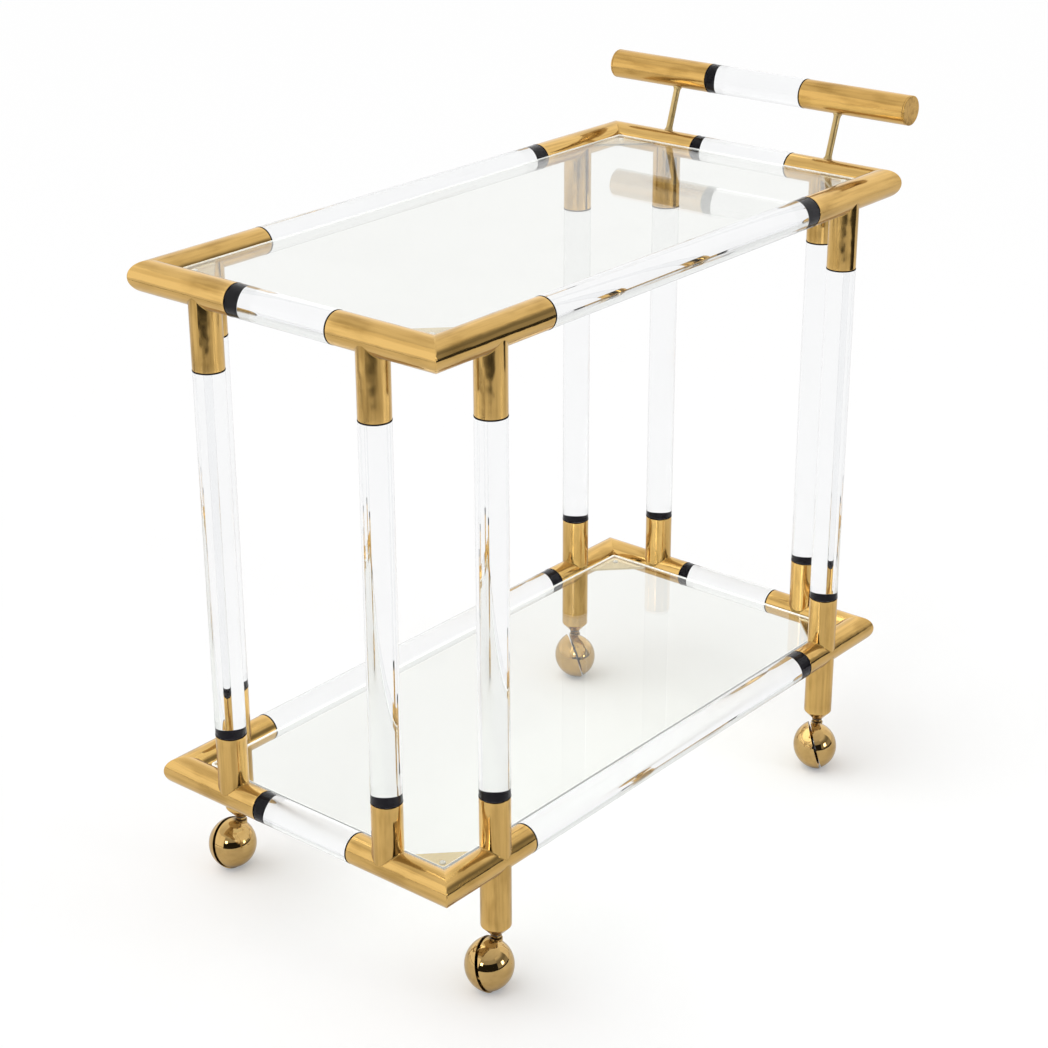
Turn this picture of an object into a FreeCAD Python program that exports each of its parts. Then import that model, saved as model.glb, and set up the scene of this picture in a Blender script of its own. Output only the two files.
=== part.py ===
import FreeCAD, Part
import math
import os
from types import SimpleNamespace

import Sketcher
from FreeCAD import Placement, Rotation, Vector

# Two-tier bar cart of brass tube corners, clear rods and glass shelves on four ball casters.
# Millimetres, +Z up, X along the cart with the handle at +X, origin on the floor under the middle.
# Left and right are those of someone who stands at the handle and looks along the cart.

SIZES = {
    # Frame, measured between the centre lines of the tubes.
    "frame_length": 788.0,
    "frame_width": 390.5,
    "tier_rise": 579.5,
    # Brass tube and the clear rod of the same outside diameter.
    "tube_od": 35.0,
    "tube_wall": 2.0,
    "upper_arm_long": 158.0,
    "lower_arm_long": 127.5,
    "arm_short": 125.5,
    # Posts, two to a corner, and the brass stubs of the same outside diameter that hold them.
    # A stub is a little slimmer than the arm it joins, so it meets the arm in one clean closed line.
    "post_od": 34.2,
    "post_inset": 79.5,
    "stub_drop": 82.5,
    "stub_rise": 74.5,
    "stub_floor": 2.0,
    # Clear rods, and the black plugs in the brass whose flanges they are glued to.
    "rod_edge": 0.3,
    "plug_length": 30.0,
    "plug_clearance": 0.1,
    "flange_thickness": 1.4,
    "flange_proud": 0.2,
    "flange_edge": 0.3,
    # Glass shelves, the triangular plates under their corners and the pads between.
    "glass_thickness": 6.0,
    "glass_gap": 2.5,
    "glass_corner": 4.0,
    "glass_arris": 0.8,
    "gusset_thickness": 3.0,
    "gusset_reach": 72.0,
    "gusset_tip": 3.0,
    "pad_od": 7.0,
    "pad_thickness": 1.5,
    "pad_inset": 32.0,
    # Push handle beyond the rear end.
    "handle_overhang": 27.5,
    "handle_rise": 84.5,
    "handle_half": 213.5,
    "handle_tube": 144.5,
    "cap_thickness": 2.5,
    "cap_plug": 8.0,
    "cap_edge": 0.8,
    "stem_inset": 78.0,
    "handle_stem_od": 8.0,
    "stem_hole_clearance": 0.1,
    "stem_poke": 1.5,
    # Caster legs and the sleeves in them.
    "leg_od": 34.0,
    "leg_drop": 93.5,
    "leg_tip_od": 13.0,
    "leg_taper": 11.5,
    "sleeve_od": 11.0,
    "sleeve_length": 40.0,
    "sleeve_clearance": 0.05,
    "washer_od": 12.6,
    "washer_thickness": 1.2,
    "washer_clearance": 0.2,
    # Ball casters: a domed wheel and a domed hood on an axle that leans.
    "ball_drop": 32.0,
    "wheel_dome": 31.0,
    "wheel_depth": 25.5,
    "hood_dome": 29.6,
    "hood_depth": 25.0,
    "shell_wall": 3.0,
    "parting_gap": 3.0,
    "axle_tilt": 16.0,
    "hub_od": 18.0,
    "axle_od": 8.0,
    "axle_seat": 14.0,
    "axle_flange_od": 15.0,
    "axle_neck": 10.0,
    "axle_head_od": 10.4,
    "axle_head": 5.0,
    "axle_press": 0.02,
    "axle_running": 0.05,
    "axle_float": 0.3,
    "head_clearance": 0.3,
    "caster_trail": 13.0,
    "caster_side": 2.0,
    "swivel_stem_od": 8.0,
    "swivel_grip": 37.0,
    "swivel_tip": 1.0,
    "swivel_running": 0.05,
    "swivel_collar_od": 12.0,
    "swivel_collar": 2.0,
    "swivel_neck_od": 9.0,
    "swivel_foot": 10.0,
    "boss_od": 14.0,
    "boss_top": 26.5,
    "boss_floor": 2.0,
    # Headings of the four wheels at rest, from the hood to the wheel, in degrees from +X.
    "heading_front_left": 106.0,
    "heading_front_right": 91.0,
    "heading_rear_left": 126.0,
    "heading_rear_right": 140.0,
}

CORNERS = {
    "front_left": (-1, -1),
    "front_right": (-1, 1),
    "rear_left": (1, -1),
    "rear_right": (1, 1),
}

doc = FreeCAD.newDocument("bar_cart")
sheet = doc.addObject("Spreadsheet::Sheet", "Dims")
for row, (alias, number) in enumerate(SIZES.items(), start=1):
    sheet.set(f"A{row}", alias)
    sheet.set(f"B{row}", str(number))
    sheet.setAlias(f"B{row}", alias)
doc.recompute()


class Size:
    """A number together with the sheet formula that gives it."""

    def __init__(self, number, formula):
        self.number = number
        self.formula = formula

    def __add__(self, other):
        other = as_size(other)
        return Size(self.number + other.number, f"({self.formula} + {other.formula})")

    def __sub__(self, other):
        other = as_size(other)
        return Size(self.number - other.number, f"({self.formula} - {other.formula})")

    def __mul__(self, other):
        other = as_size(other)
        return Size(self.number * other.number, f"({self.formula} * {other.formula})")

    def __truediv__(self, other):
        other = as_size(other)
        return Size(self.number / other.number, f"({self.formula} / {other.formula})")

    def __neg__(self):
        return self * -1


class Loose(float):
    """A start value that the arc through the point settles."""


def as_size(item):
    return item if isinstance(item, Size) else Size(float(item), f"({float(item)})")


def plain(item):
    return item.number if isinstance(item, Size) else float(item)


def sine(angle):
    return Size(math.sin(math.radians(angle.number)), f"sin({angle.formula} * 1 deg)")


def diagonal(side, other):
    return Size(math.hypot(side.number, other.number), f"sqrt({side.formula} ^ 2 + {other.formula} ^ 2)")


dim = SimpleNamespace(**{alias: Size(number, f"Dims.{alias}") for alias, number in SIZES.items()})

# Sizes that follow from the driving ones.
tube_r = dim.tube_od / 2
bore_r = tube_r - dim.tube_wall
post_r = dim.post_od / 2
half_gap = dim.parting_gap / 2
wheel_centre = half_gap + dim.wheel_depth - dim.wheel_dome
ball_height = dim.wheel_dome + wheel_centre * sine(dim.axle_tilt)
leg_bottom = ball_height + dim.ball_drop
lower_axis = leg_bottom + dim.leg_drop
upper_axis = lower_axis + dim.tier_rise
frame_x = -(dim.handle_overhang / 2)
sleeve_bore_r = dim.swivel_stem_od / 2 + dim.swivel_running

TIERS = {
    "upper": SimpleNamespace(axis=upper_axis, arm_long=dim.upper_arm_long, stub=dim.stub_drop, up=-1),
    "lower": SimpleNamespace(axis=lower_axis, arm_long=dim.lower_arm_long, stub=dim.stub_rise, up=1),
}

ALONG_X = Rotation(Vector(0, 1, 0), 90)
BACK_X = Rotation(Vector(0, 1, 0), -90)
ALONG_Y = Rotation(Vector(1, 0, 0), -90)
BACK_Y = Rotation(Vector(1, 0, 0), 90)
UPRIGHT = Rotation()
UPSIDE_DOWN = Rotation(Vector(1, 0, 0), 180)

subparts = []


def keep(item, label):
    """Names a finished sub-part and puts it on the list of files to write."""
    item.Label = label
    subparts.append(item)
    return item


def bind(item, **lengths):
    for name, length in lengths.items():
        item.setExpression(name, as_size(length).formula)


def seat(item, x, y, z, turn=UPRIGHT):
    """Places an item; lengths that come from the sheet stay tied to it."""
    item.Placement = Placement(Vector(plain(x), plain(y), plain(z)), turn)
    for axis, length in zip("xyz", (x, y, z)):
        if isinstance(length, Size):
            item.setExpression(f"Placement.Base.{axis}", length.formula)
    return item


def group(label, items):
    """One node that holds several equal pieces."""
    compound = doc.addObject("Part::Compound", label)
    compound.Links = items
    return keep(compound, label)


def corner_x(side):
    return frame_x + dim.frame_length / 2 * side


def corner_y(side):
    return dim.frame_width / 2 * side


# Sketches and features

def new_body(name):
    return doc.addObject("PartDesign::Body", name)


def new_sketch(body, plane, shift=(0, 0, 0), turn=UPRIGHT):
    """A sketch on one of the body's origin planes, shifted along the plane's own axes."""
    sketch = body.newObject("Sketcher::SketchObject", f"{body.Name}_sketch")
    support = next(item for item in body.Origin.OriginFeatures if item.Role == plane)
    sketch.AttachmentSupport = [(support, "")]
    sketch.MapMode = "FlatFace"
    sketch.AttachmentOffset = Placement(Vector(*[plain(length) for length in shift]), turn)
    for axis, length in zip("xyz", shift):
        if isinstance(length, Size):
            sketch.setExpression(f"AttachmentOffset.Base.{axis}", length.formula)
    return sketch


def measure(sketch, constraint, length):
    index = sketch.addConstraint(constraint)
    if isinstance(length, Size):
        sketch.setExpression(f"Constraints[{index}]", length.formula)


def pin(sketch, curve, point, x, y):
    """Holds a point of a curve at its distance from the sketch's origin."""
    for kind, length in (("DistanceX", x), ("DistanceY", y)):
        if not isinstance(length, Loose):
            measure(sketch, Sketcher.Constraint(kind, -1, 1, curve, point, plain(length)), length)


def draw_circle(sketch, radius, x=0, y=0):
    middle = Vector(plain(x), plain(y), 0)
    curve = sketch.addGeometry(Part.Circle(middle, Vector(0, 0, 1), plain(radius)))
    measure(sketch, Sketcher.Constraint("Radius", curve, plain(radius)), radius)
    pin(sketch, curve, 3, x, y)


def draw_outline(sketch, corners, domes=None):
    """A closed outline; domes gives the height of centre and the radius of each arc about the axis."""
    domes = domes or {}
    points = [Vector(plain(x), plain(y), 0) for x, y in corners]
    ends = []
    for index, start in enumerate(points):
        finish = points[(index + 1) % len(points)]
        if index not in domes:
            sketch.addGeometry(Part.LineSegment(start, finish))
            ends.append((1, 2))
            continue
        centre, radius = domes[index]
        first = math.atan2(start.y - plain(centre), start.x)
        last = math.atan2(finish.y - plain(centre), finish.x)
        circle = Part.Circle(Vector(0, plain(centre), 0), Vector(0, 0, 1), plain(radius))
        sketch.addGeometry(Part.ArcOfCircle(circle, min(first, last), max(first, last)))
        ends.append((1, 2) if first < last else (2, 1))
    for index, (begin, end) in enumerate(ends):
        following = (index + 1) % len(ends)
        sketch.addConstraint(Sketcher.Constraint("Coincident", index, end, following, ends[following][0]))
    for index, (centre, radius) in domes.items():
        measure(sketch, Sketcher.Constraint("Radius", index, plain(radius)), radius)
        pin(sketch, index, 3, 0, centre)
    for index, (x, y) in enumerate(corners):
        pin(sketch, index, ends[index][0], x, y)


def add_feature(body, kind, sketch, **lengths):
    feature = body.newObject(f"PartDesign::{kind}", f"{body.Name}_{kind.lower()}")
    feature.Profile = sketch
    bind(feature, **lengths)
    body.Tip = feature
    return feature


def revolve(body, sketch):
    feature = add_feature(body, "Revolution", sketch)
    feature.ReferenceAxis = (sketch, ["V_Axis"])
    feature.Angle = 360


def turned(name, corners, domes=None):
    """A lathe-turned piece on its own Z axis; corners are radius and height."""
    body = new_body(name)
    sketch = new_sketch(body, "XZ_Plane")
    draw_outline(sketch, corners, domes)
    revolve(body, sketch)
    return body


def rounded(body, kind, size, chosen):
    """Fillets or chamfers the edges of the body's last feature that the test picks."""
    doc.recompute()
    base = body.Tip
    names = [f"Edge{index}" for index, edge in enumerate(base.Shape.Edges, start=1) if chosen(edge)]
    feature = body.newObject(f"PartDesign::{kind}", f"{body.Name}_{kind.lower()}")
    feature.Base = (base, names)
    bind(feature, **{"Radius" if kind == "Fillet" else "Size": size})
    body.Tip = feature


def is_upright(edge):
    return edge.BoundBox.ZLength > 1e-6


def is_level(edge):
    return not is_upright(edge)


# Clear rods, posts and the black plugs at their ends

def clear_rod(name, length, rod_r=tube_r):
    """A plain clear bar with softened edges."""
    edge = dim.rod_edge
    corners = [
        (0, 0),
        (rod_r - edge, 0),
        (rod_r, edge),
        (rod_r, length - edge),
        (rod_r - edge, length),
        (0, length),
    ]
    return keep(turned(name, corners), name)


def black_plug(name, rod_r=tube_r):
    """A plug that goes down into the end of a brass tube, with a flange on top for the rod to be glued to."""
    plug_r = rod_r - dim.tube_wall - dim.plug_clearance
    outer = rod_r + dim.flange_proud
    edge = dim.flange_edge
    corners = [
        (0, -dim.plug_length),
        (plug_r - edge, -dim.plug_length),
        (plug_r, edge - dim.plug_length),
        (plug_r, 0),
        (outer - edge, 0),
        (outer, edge),
        (outer, dim.flange_thickness - edge),
        (outer - edge, dim.flange_thickness),
        (0, dim.flange_thickness),
    ]
    return turned(name, corners)


def tier_rods(tier_name, tier):
    """Four level rods, each between two plugs."""
    plugs = []
    across = dim.frame_width - (dim.arm_short + dim.flange_thickness) * 2
    along = dim.frame_length - (tier.arm_long + dim.flange_thickness) * 2
    for end_name, side in (("front", -1), ("rear", 1)):
        name = f"{tier_name}_{end_name}"
        start = corner_y(-1) + dim.arm_short
        end = corner_y(1) - dim.arm_short
        seat(clear_rod(f"{name}_rod", across), corner_x(side), start + dim.flange_thickness, tier.axis, ALONG_Y)
        plugs.append(seat(black_plug(f"{name}_start_plug"), corner_x(side), start, tier.axis, ALONG_Y))
        plugs.append(seat(black_plug(f"{name}_end_plug"), corner_x(side), end, tier.axis, BACK_Y))
    for side_name, side in (("left", -1), ("right", 1)):
        name = f"{tier_name}_{side_name}"
        start = corner_x(-1) + tier.arm_long
        end = corner_x(1) - tier.arm_long
        seat(clear_rod(f"{name}_rod", along), start + dim.flange_thickness, corner_y(side), tier.axis, ALONG_X)
        plugs.append(seat(black_plug(f"{name}_start_plug"), start, corner_y(side), tier.axis, ALONG_X))
        plugs.append(seat(black_plug(f"{name}_end_plug"), end, corner_y(side), tier.axis, BACK_X))
    group(f"{tier_name}_rod_plugs", plugs)


def posts():
    """Two posts at each corner, each between a plug in the lower stub and one in the upper stub."""
    foot = lower_axis + dim.stub_rise
    head = upper_axis - dim.stub_drop
    length = head - foot - dim.flange_thickness * 2
    plugs = []
    for corner_name, (side_x, side_y) in CORNERS.items():
        places = {
            "side": (corner_x(side_x) - dim.post_inset * side_x, corner_y(side_y)),
            "end": (corner_x(side_x), corner_y(side_y) - dim.post_inset * side_y),
        }
        for arm_name, (x, y) in places.items():
            name = f"{corner_name}_{arm_name}"
            seat(clear_rod(f"{name}_post", length, post_r), x, y, foot + dim.flange_thickness)
            plugs.append(seat(black_plug(f"{name}_lower_plug", post_r), x, y, foot))
            plugs.append(seat(black_plug(f"{name}_upper_plug", post_r), x, y, head, UPSIDE_DOWN))
    group("post_plugs", plugs)


# Brass corner fittings

def sweep(body, kind, spine, profile):
    pipe = body.newObject(f"PartDesign::{kind}", f"{body.Name}_{kind.lower()}")
    pipe.Profile = profile
    pipe.Spine = (spine, ["Edge1", "Edge2"])
    pipe.Transition = "Right corner"
    body.Tip = pipe


lean = math.degrees(math.atan2(dim.handle_overhang.number, dim.handle_rise.number))
HANDLE_LEAN = Rotation(Vector(0, 1, 0), lean)


def stem_hole(body, along_y, upward):
    """A hole through the wall of a tube on the line of a handle stem."""
    sketch = new_sketch(body, "XY_Plane", (0, along_y, 0), HANDLE_LEAN)
    draw_circle(sketch, dim.handle_stem_od / 2 + dim.stem_hole_clearance)
    pocket = add_feature(body, "Pocket", sketch, Length=dim.tube_od)
    pocket.Reversed = upward


def corner_fitting(tier_name, tier, corner_name):
    """Two mitred tube arms with a stub for each post; the lower ones also carry a caster leg."""
    side_x, side_y = CORNERS[corner_name]
    name = f"{tier_name}_corner_{corner_name}"
    body = new_body(name)
    long_end = tier.arm_long * -side_x
    short_end = dim.arm_short * -side_y
    post_x = dim.post_inset * -side_x
    post_y = dim.post_inset * -side_y

    spine = new_sketch(body, "XY_Plane")
    spine.addGeometry(Part.LineSegment(Vector(long_end.number, 0, 0), Vector()))
    spine.addGeometry(Part.LineSegment(Vector(), Vector(0, short_end.number, 0)))
    spine.addConstraint(Sketcher.Constraint("Coincident", 0, 2, 1, 1))
    pin(spine, 0, 1, long_end, 0)
    pin(spine, 1, 1, 0, 0)
    pin(spine, 1, 2, 0, short_end)
    outside = new_sketch(body, "YZ_Plane", (0, 0, long_end))
    draw_circle(outside, tube_r)
    sweep(body, "AdditivePipe", spine, outside)

    stubs = new_sketch(body, "XY_Plane")
    draw_circle(stubs, post_r, x=post_x)
    draw_circle(stubs, post_r, y=post_y)
    stub_pad = add_feature(body, "Pad", stubs, Length=tier.stub)
    stub_pad.Reversed = tier.up < 0

    if tier_name == "lower":
        leg = new_sketch(body, "XZ_Plane", (post_x, 0, 0))
        socket_r = dim.sleeve_od / 2 + dim.sleeve_clearance
        draw_outline(leg, [
            (socket_r, -dim.leg_drop),
            (dim.leg_tip_od / 2, -dim.leg_drop),
            (dim.leg_od / 2, dim.leg_taper - dim.leg_drop),
            (dim.leg_od / 2, 0),
            (0, 0),
            (0, dim.sleeve_length - dim.leg_drop),
            (socket_r, dim.sleeve_length - dim.leg_drop),
        ])
        revolve(body, leg)

    inside = new_sketch(body, "YZ_Plane", (0, 0, long_end))
    draw_circle(inside, bore_r)
    sweep(body, "SubtractivePipe", spine, inside)

    sockets = new_sketch(body, "XY_Plane", (0, 0, tier.stub * tier.up))
    draw_circle(sockets, post_r - dim.tube_wall, x=post_x)
    draw_circle(sockets, post_r - dim.tube_wall, y=post_y)
    depth = tier.stub - tube_r - dim.stub_floor
    socket_pocket = add_feature(body, "Pocket", sockets, Length=depth)
    socket_pocket.Reversed = tier.up < 0

    if tier_name == "upper" and side_x > 0:
        stem_hole(body, dim.stem_inset * -side_y, upward=True)

    seat(body, corner_x(side_x), corner_y(side_y), tier.axis)
    return keep(body, name)


# Glass shelves and what carries them

def shelf(tier_name, tier):
    """A glass plate on pads, on triangular plates let into the four corners of the frame."""
    plates = []
    pads = []
    for corner_name, (side_x, side_y) in CORNERS.items():
        plate = new_body(f"{tier_name}_gusset_{corner_name}")
        sketch = new_sketch(plate, "XY_Plane")
        tip = tube_r + dim.gusset_tip
        outline = [
            (tube_r, tube_r),
            (dim.gusset_reach, tube_r),
            (dim.gusset_reach, tip),
            (tip, dim.gusset_reach),
            (tube_r, dim.gusset_reach),
        ]
        draw_outline(sketch, [(x * -side_x, y * -side_y) for x, y in outline])
        plate_pad = add_feature(plate, "Pad", sketch, Length=dim.gusset_thickness)
        plate_pad.Reversed = True
        plates.append(seat(plate, corner_x(side_x), corner_y(side_y), tier.axis))

        pad = doc.addObject("Part::Cylinder", f"{tier_name}_pad_{corner_name}")
        bind(pad, Radius=dim.pad_od / 2, Height=dim.pad_thickness)
        pad_x = corner_x(side_x) - dim.pad_inset * side_x
        pad_y = corner_y(side_y) - dim.pad_inset * side_y
        pads.append(seat(pad, pad_x, pad_y, tier.axis))
    group(f"{tier_name}_gusset_plates", plates)
    group(f"{tier_name}_shelf_pads", pads)

    glass = new_body(f"{tier_name}_glass_shelf")
    half_x = dim.frame_length / 2 - tube_r - dim.glass_gap
    half_y = dim.frame_width / 2 - tube_r - dim.glass_gap
    sketch = new_sketch(glass, "XY_Plane")
    draw_outline(sketch, [(-half_x, -half_y), (half_x, -half_y), (half_x, half_y), (-half_x, half_y)])
    add_feature(glass, "Pad", sketch, Length=dim.glass_thickness)
    rounded(glass, "Fillet", dim.glass_corner, is_upright)
    rounded(glass, "Chamfer", dim.glass_arris, is_level)
    seat(glass, frame_x, 0, tier.axis + dim.pad_thickness)
    keep(glass, f"{tier_name}_glass_shelf")


# Push handle

def handle():
    """A bar of brass tube, clear rod and brass tube on two slim leaning stems."""
    bar_x = corner_x(1) + dim.handle_overhang
    bar_z = upper_axis + dim.handle_rise
    inner_end = dim.handle_half - dim.handle_tube
    brass_end = dim.handle_half - dim.cap_thickness
    stem_y = dim.frame_width / 2 - dim.stem_inset
    stem_start = tube_r - dim.tube_wall - dim.stem_poke
    stem_length = diagonal(dim.handle_overhang, dim.handle_rise) - stem_start * 2
    lean_line = HANDLE_LEAN.multVec(Vector(0, 0, stem_start.number))
    caps, plugs = [], []
    for side_name, side in (("left", -1), ("right", 1)):
        tube = new_body(f"handle_tube_{side_name}")
        start = brass_end if side > 0 else inner_end
        sketch = new_sketch(tube, "XZ_Plane", (0, 0, start * -side))
        draw_circle(sketch, tube_r)
        draw_circle(sketch, bore_r)
        add_feature(tube, "Pad", sketch, Length=brass_end - inner_end)
        stem_hole(tube, stem_y * side, upward=False)
        seat(tube, bar_x, 0, bar_z)
        keep(tube, f"handle_tube_{side_name}")

        plug_r = bore_r - dim.plug_clearance
        cap = turned(f"handle_cap_{side_name}", [
            (0, -dim.cap_plug),
            (plug_r - dim.cap_edge, -dim.cap_plug),
            (plug_r, dim.cap_edge - dim.cap_plug),
            (plug_r, 0),
            (tube_r, 0),
            (tube_r, dim.cap_thickness - dim.cap_edge),
            (tube_r - dim.cap_edge, dim.cap_thickness),
            (0, dim.cap_thickness),
        ])
        caps.append(seat(cap, bar_x, brass_end * side, bar_z, Rotation(Vector(1, 0, 0), -90 * side)))

        stem = doc.addObject("Part::Cylinder", f"handle_stem_{side_name}")
        bind(stem, Radius=dim.handle_stem_od / 2, Height=stem_length)
        seat(stem, corner_x(1) + lean_line.x, stem_y * side, upper_axis + lean_line.z, HANDLE_LEAN)
        keep(stem, f"handle_stem_{side_name}")

        # The stem's hole goes on into the plug where the plug is long enough to reach it.
        drill = doc.addObject("Part::Cylinder", f"handle_drill_{side_name}")
        bind(drill, Radius=dim.handle_stem_od / 2 + dim.stem_hole_clearance, Height=stem_length + dim.stem_poke)
        seat(drill, corner_x(1) + lean_line.x, stem_y * side, upper_axis + lean_line.z, HANDLE_LEAN)
        plug = black_plug(f"handle_plug_{side_name}")
        seat(plug, bar_x, inner_end * side, bar_z, BACK_Y if side > 0 else ALONG_Y)
        drilled = doc.addObject("Part::Cut", f"handle_drilled_plug_{side_name}")
        drilled.Base = plug
        drilled.Tool = drill
        plugs.append(drilled)
    group("handle_end_caps", caps)
    group("handle_plugs", plugs)

    rod = clear_rod("handle_rod", (inner_end - dim.flange_thickness) * 2)
    seat(rod, bar_x, dim.flange_thickness - inner_end, bar_z, ALONG_Y)


# Ball casters

def dome_edge(dome, depth, reach):
    """Start radius of a dome's rim, a given distance inside its crown."""
    return Loose(math.sqrt(reach ** 2 - (dome.number - depth.number) ** 2))


def hood_shell(name):
    """The fixed half of the ball, hollow round a hub that holds the axle."""
    crown = -(half_gap + dim.hood_depth)
    centre = crown + dim.hood_dome
    inner = dim.hood_dome - dim.shell_wall
    hub_r = dim.hub_od / 2
    seat_r = dim.axle_od / 2 + dim.axle_press
    seat_end = -(half_gap + dim.axle_seat)
    hub_foot = centre.number - math.sqrt(inner.number ** 2 - hub_r.number ** 2)
    return turned(name, [
        (0, Loose(crown.number)),
        (dome_edge(dim.hood_dome, dim.hood_depth, dim.hood_dome.number), -half_gap),
        (dome_edge(dim.hood_dome, dim.hood_depth, inner.number), -half_gap),
        (hub_r, Loose(hub_foot)),
        (hub_r, -half_gap),
        (seat_r, -half_gap),
        (seat_r, seat_end),
        (0, seat_end),
    ], domes={0: (centre, dim.hood_dome), 2: (centre, inner)})


def wheel_shell(name):
    """The turning half of the ball, with a hub bored for the axle and its snap-in head."""
    crown = half_gap + dim.wheel_depth
    inner = dim.wheel_dome - dim.shell_wall
    hub_r = dim.hub_od / 2
    running_r = dim.axle_od / 2 + dim.axle_running
    chamber_r = dim.axle_head_od / 2 + dim.head_clearance
    neck_end = half_gap + dim.axle_neck
    chamber_end = neck_end + dim.axle_head
    hub_foot = wheel_centre.number + math.sqrt(inner.number ** 2 - hub_r.number ** 2)
    return turned(name, [
        (0, Loose(crown.number)),
        (dome_edge(dim.wheel_dome, dim.wheel_depth, dim.wheel_dome.number), half_gap),
        (dome_edge(dim.wheel_dome, dim.wheel_depth, inner.number), half_gap),
        (hub_r, Loose(hub_foot)),
        (hub_r, half_gap),
        (running_r, half_gap),
        (running_r, neck_end),
        (chamber_r, neck_end),
        (chamber_r, chamber_end),
        (0, chamber_end),
    ], domes={0: (wheel_centre, dim.wheel_dome), 2: (wheel_centre, inner)})


def axle(name):
    """A pin pressed into the hood, with a thrust flange in the gap and a head inside the wheel."""
    pin_r = dim.axle_od / 2
    flange_r = dim.axle_flange_od / 2
    head_r = dim.axle_head_od / 2
    foot = -(half_gap + dim.axle_seat)
    flange_top = half_gap - dim.axle_float
    head_start = half_gap + dim.axle_neck + dim.axle_float
    head_end = half_gap + dim.axle_neck + dim.axle_head - dim.axle_float
    return turned(name, [
        (0, foot),
        (pin_r, foot),
        (pin_r, -half_gap),
        (flange_r, -half_gap),
        (flange_r, flange_top),
        (pin_r, flange_top),
        (pin_r, head_start),
        (head_r, head_start),
        (pin_r, head_end),
        (0, head_end),
    ])


def swivel_stem(name):
    """The stem that turns in the leg's sleeve; height zero is the bottom of the leg."""
    stem_r = dim.swivel_stem_od / 2
    collar_top = -dim.washer_thickness
    collar_foot = collar_top - dim.swivel_collar
    foot = dim.swivel_foot - dim.ball_drop
    return turned(name, [
        (0, dim.swivel_grip),
        (stem_r - dim.swivel_tip, dim.swivel_grip),
        (stem_r, dim.swivel_grip - dim.swivel_tip),
        (stem_r, collar_top),
        (dim.swivel_collar_od / 2, collar_top),
        (dim.swivel_collar_od / 2, collar_foot),
        (dim.swivel_neck_od / 2, collar_foot),
        (dim.swivel_neck_od / 2, foot),
        (0, foot),
    ])


def pillar(name, radius, foot, top):
    """An upright cylinder on the stem's line, in the caster's own frame."""
    item = doc.addObject("Part::Cylinder", name)
    bind(item, Radius=radius, Height=top - foot)
    return seat(item, dim.caster_trail, -dim.caster_side, foot)


AXLE_TURN = Rotation(Vector(1, 0, 0), -90 - dim.axle_tilt.number)


def hood(name):
    """The hood with its stem boss, cut back to the parting plane and bored for the stem."""
    shell = seat(hood_shell(f"{name}_shell"), 0, 0, 0, AXLE_TURN)
    boss = pillar(f"{name}_boss", dim.boss_od / 2, dim.swivel_foot - dim.boss_floor, dim.boss_top)
    beyond = doc.addObject("Part::Cylinder", f"{name}_parting")
    bind(beyond, Radius=dim.hood_dome * 2, Height=dim.hood_dome * 2)
    edge = AXLE_TURN.multVec(Vector(0, 0, -half_gap.number))
    seat(beyond, edge.x, edge.y, edge.z, AXLE_TURN)
    trimmed = doc.addObject("Part::Cut", f"{name}_trimmed_boss")
    trimmed.Base = boss
    trimmed.Tool = beyond
    joined = doc.addObject("Part::Fuse", f"{name}_joined")
    joined.Base = shell
    joined.Tool = trimmed
    bore = pillar(f"{name}_bore", dim.swivel_neck_od / 2 + dim.axle_press, dim.swivel_foot, dim.ball_drop)
    bored = doc.addObject("Part::Cut", name)
    bored.Base = joined
    bored.Tool = bore
    return bored


def casters():
    """Four ball casters, with the sleeves and washers that stay in the legs."""
    sleeves = []
    washers = []
    for corner_name, (side_x, side_y) in CORNERS.items():
        name = f"caster_{corner_name}"
        x = corner_x(side_x) - dim.post_inset * side_x
        y = corner_y(side_y)
        sleeve = turned(f"{name}_sleeve", [
            (sleeve_bore_r, 0),
            (dim.sleeve_od / 2, 0),
            (dim.sleeve_od / 2, dim.sleeve_length),
            (sleeve_bore_r, dim.sleeve_length),
        ])
        sleeves.append(seat(sleeve, x, y, leg_bottom))
        washer_bore = dim.swivel_stem_od / 2 + dim.washer_clearance
        washer = turned(f"{name}_washer", [
            (washer_bore, -dim.washer_thickness),
            (dim.washer_od / 2, -dim.washer_thickness),
            (dim.washer_od / 2, 0),
            (washer_bore, 0),
        ])
        washers.append(seat(washer, x, y, leg_bottom))

        stem = swivel_stem(f"{name}_stem")
        keep(seat(stem, x, y, leg_bottom), f"{name}_stem")

        heading = getattr(dim, f"heading_{corner_name}").number
        turn = Rotation(Vector(0, 0, 1), heading - 90)
        offset = turn.multVec(Vector(dim.caster_trail.number, -dim.caster_side.number, 0))
        ball_x = x - offset.x
        ball_y = y - offset.y
        keep(seat(hood(f"{name}_hood"), ball_x, ball_y, ball_height, turn), f"{name}_hood")
        leaning = turn.multiply(AXLE_TURN)
        keep(seat(axle(f"{name}_axle"), ball_x, ball_y, ball_height, leaning), f"{name}_axle")
        keep(seat(wheel_shell(f"{name}_wheel"), ball_x, ball_y, ball_height, leaning), f"{name}_wheel")
    group("caster_sleeves", sleeves)
    group("caster_washers", washers)


def check_document():
    """Stops if a piece failed to build or a cut removed nothing."""
    for item in doc.Objects:
        if "Invalid" in item.State or "Error" in item.State:
            raise RuntimeError(f"{item.Label} failed: {item.State}")
        if item.TypeId in ("PartDesign::Pocket", "PartDesign::SubtractivePipe"):
            if item.Shape.Volume >= item.BaseFeature.Shape.Volume - 1e-6:
                raise RuntimeError(f"{item.Label} cuts nothing")
    for item in subparts:
        if item.Shape.isNull() or not item.Shape.isValid() or not item.Shape.Solids:
            raise RuntimeError(f"{item.Label} has no valid solid")


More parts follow.
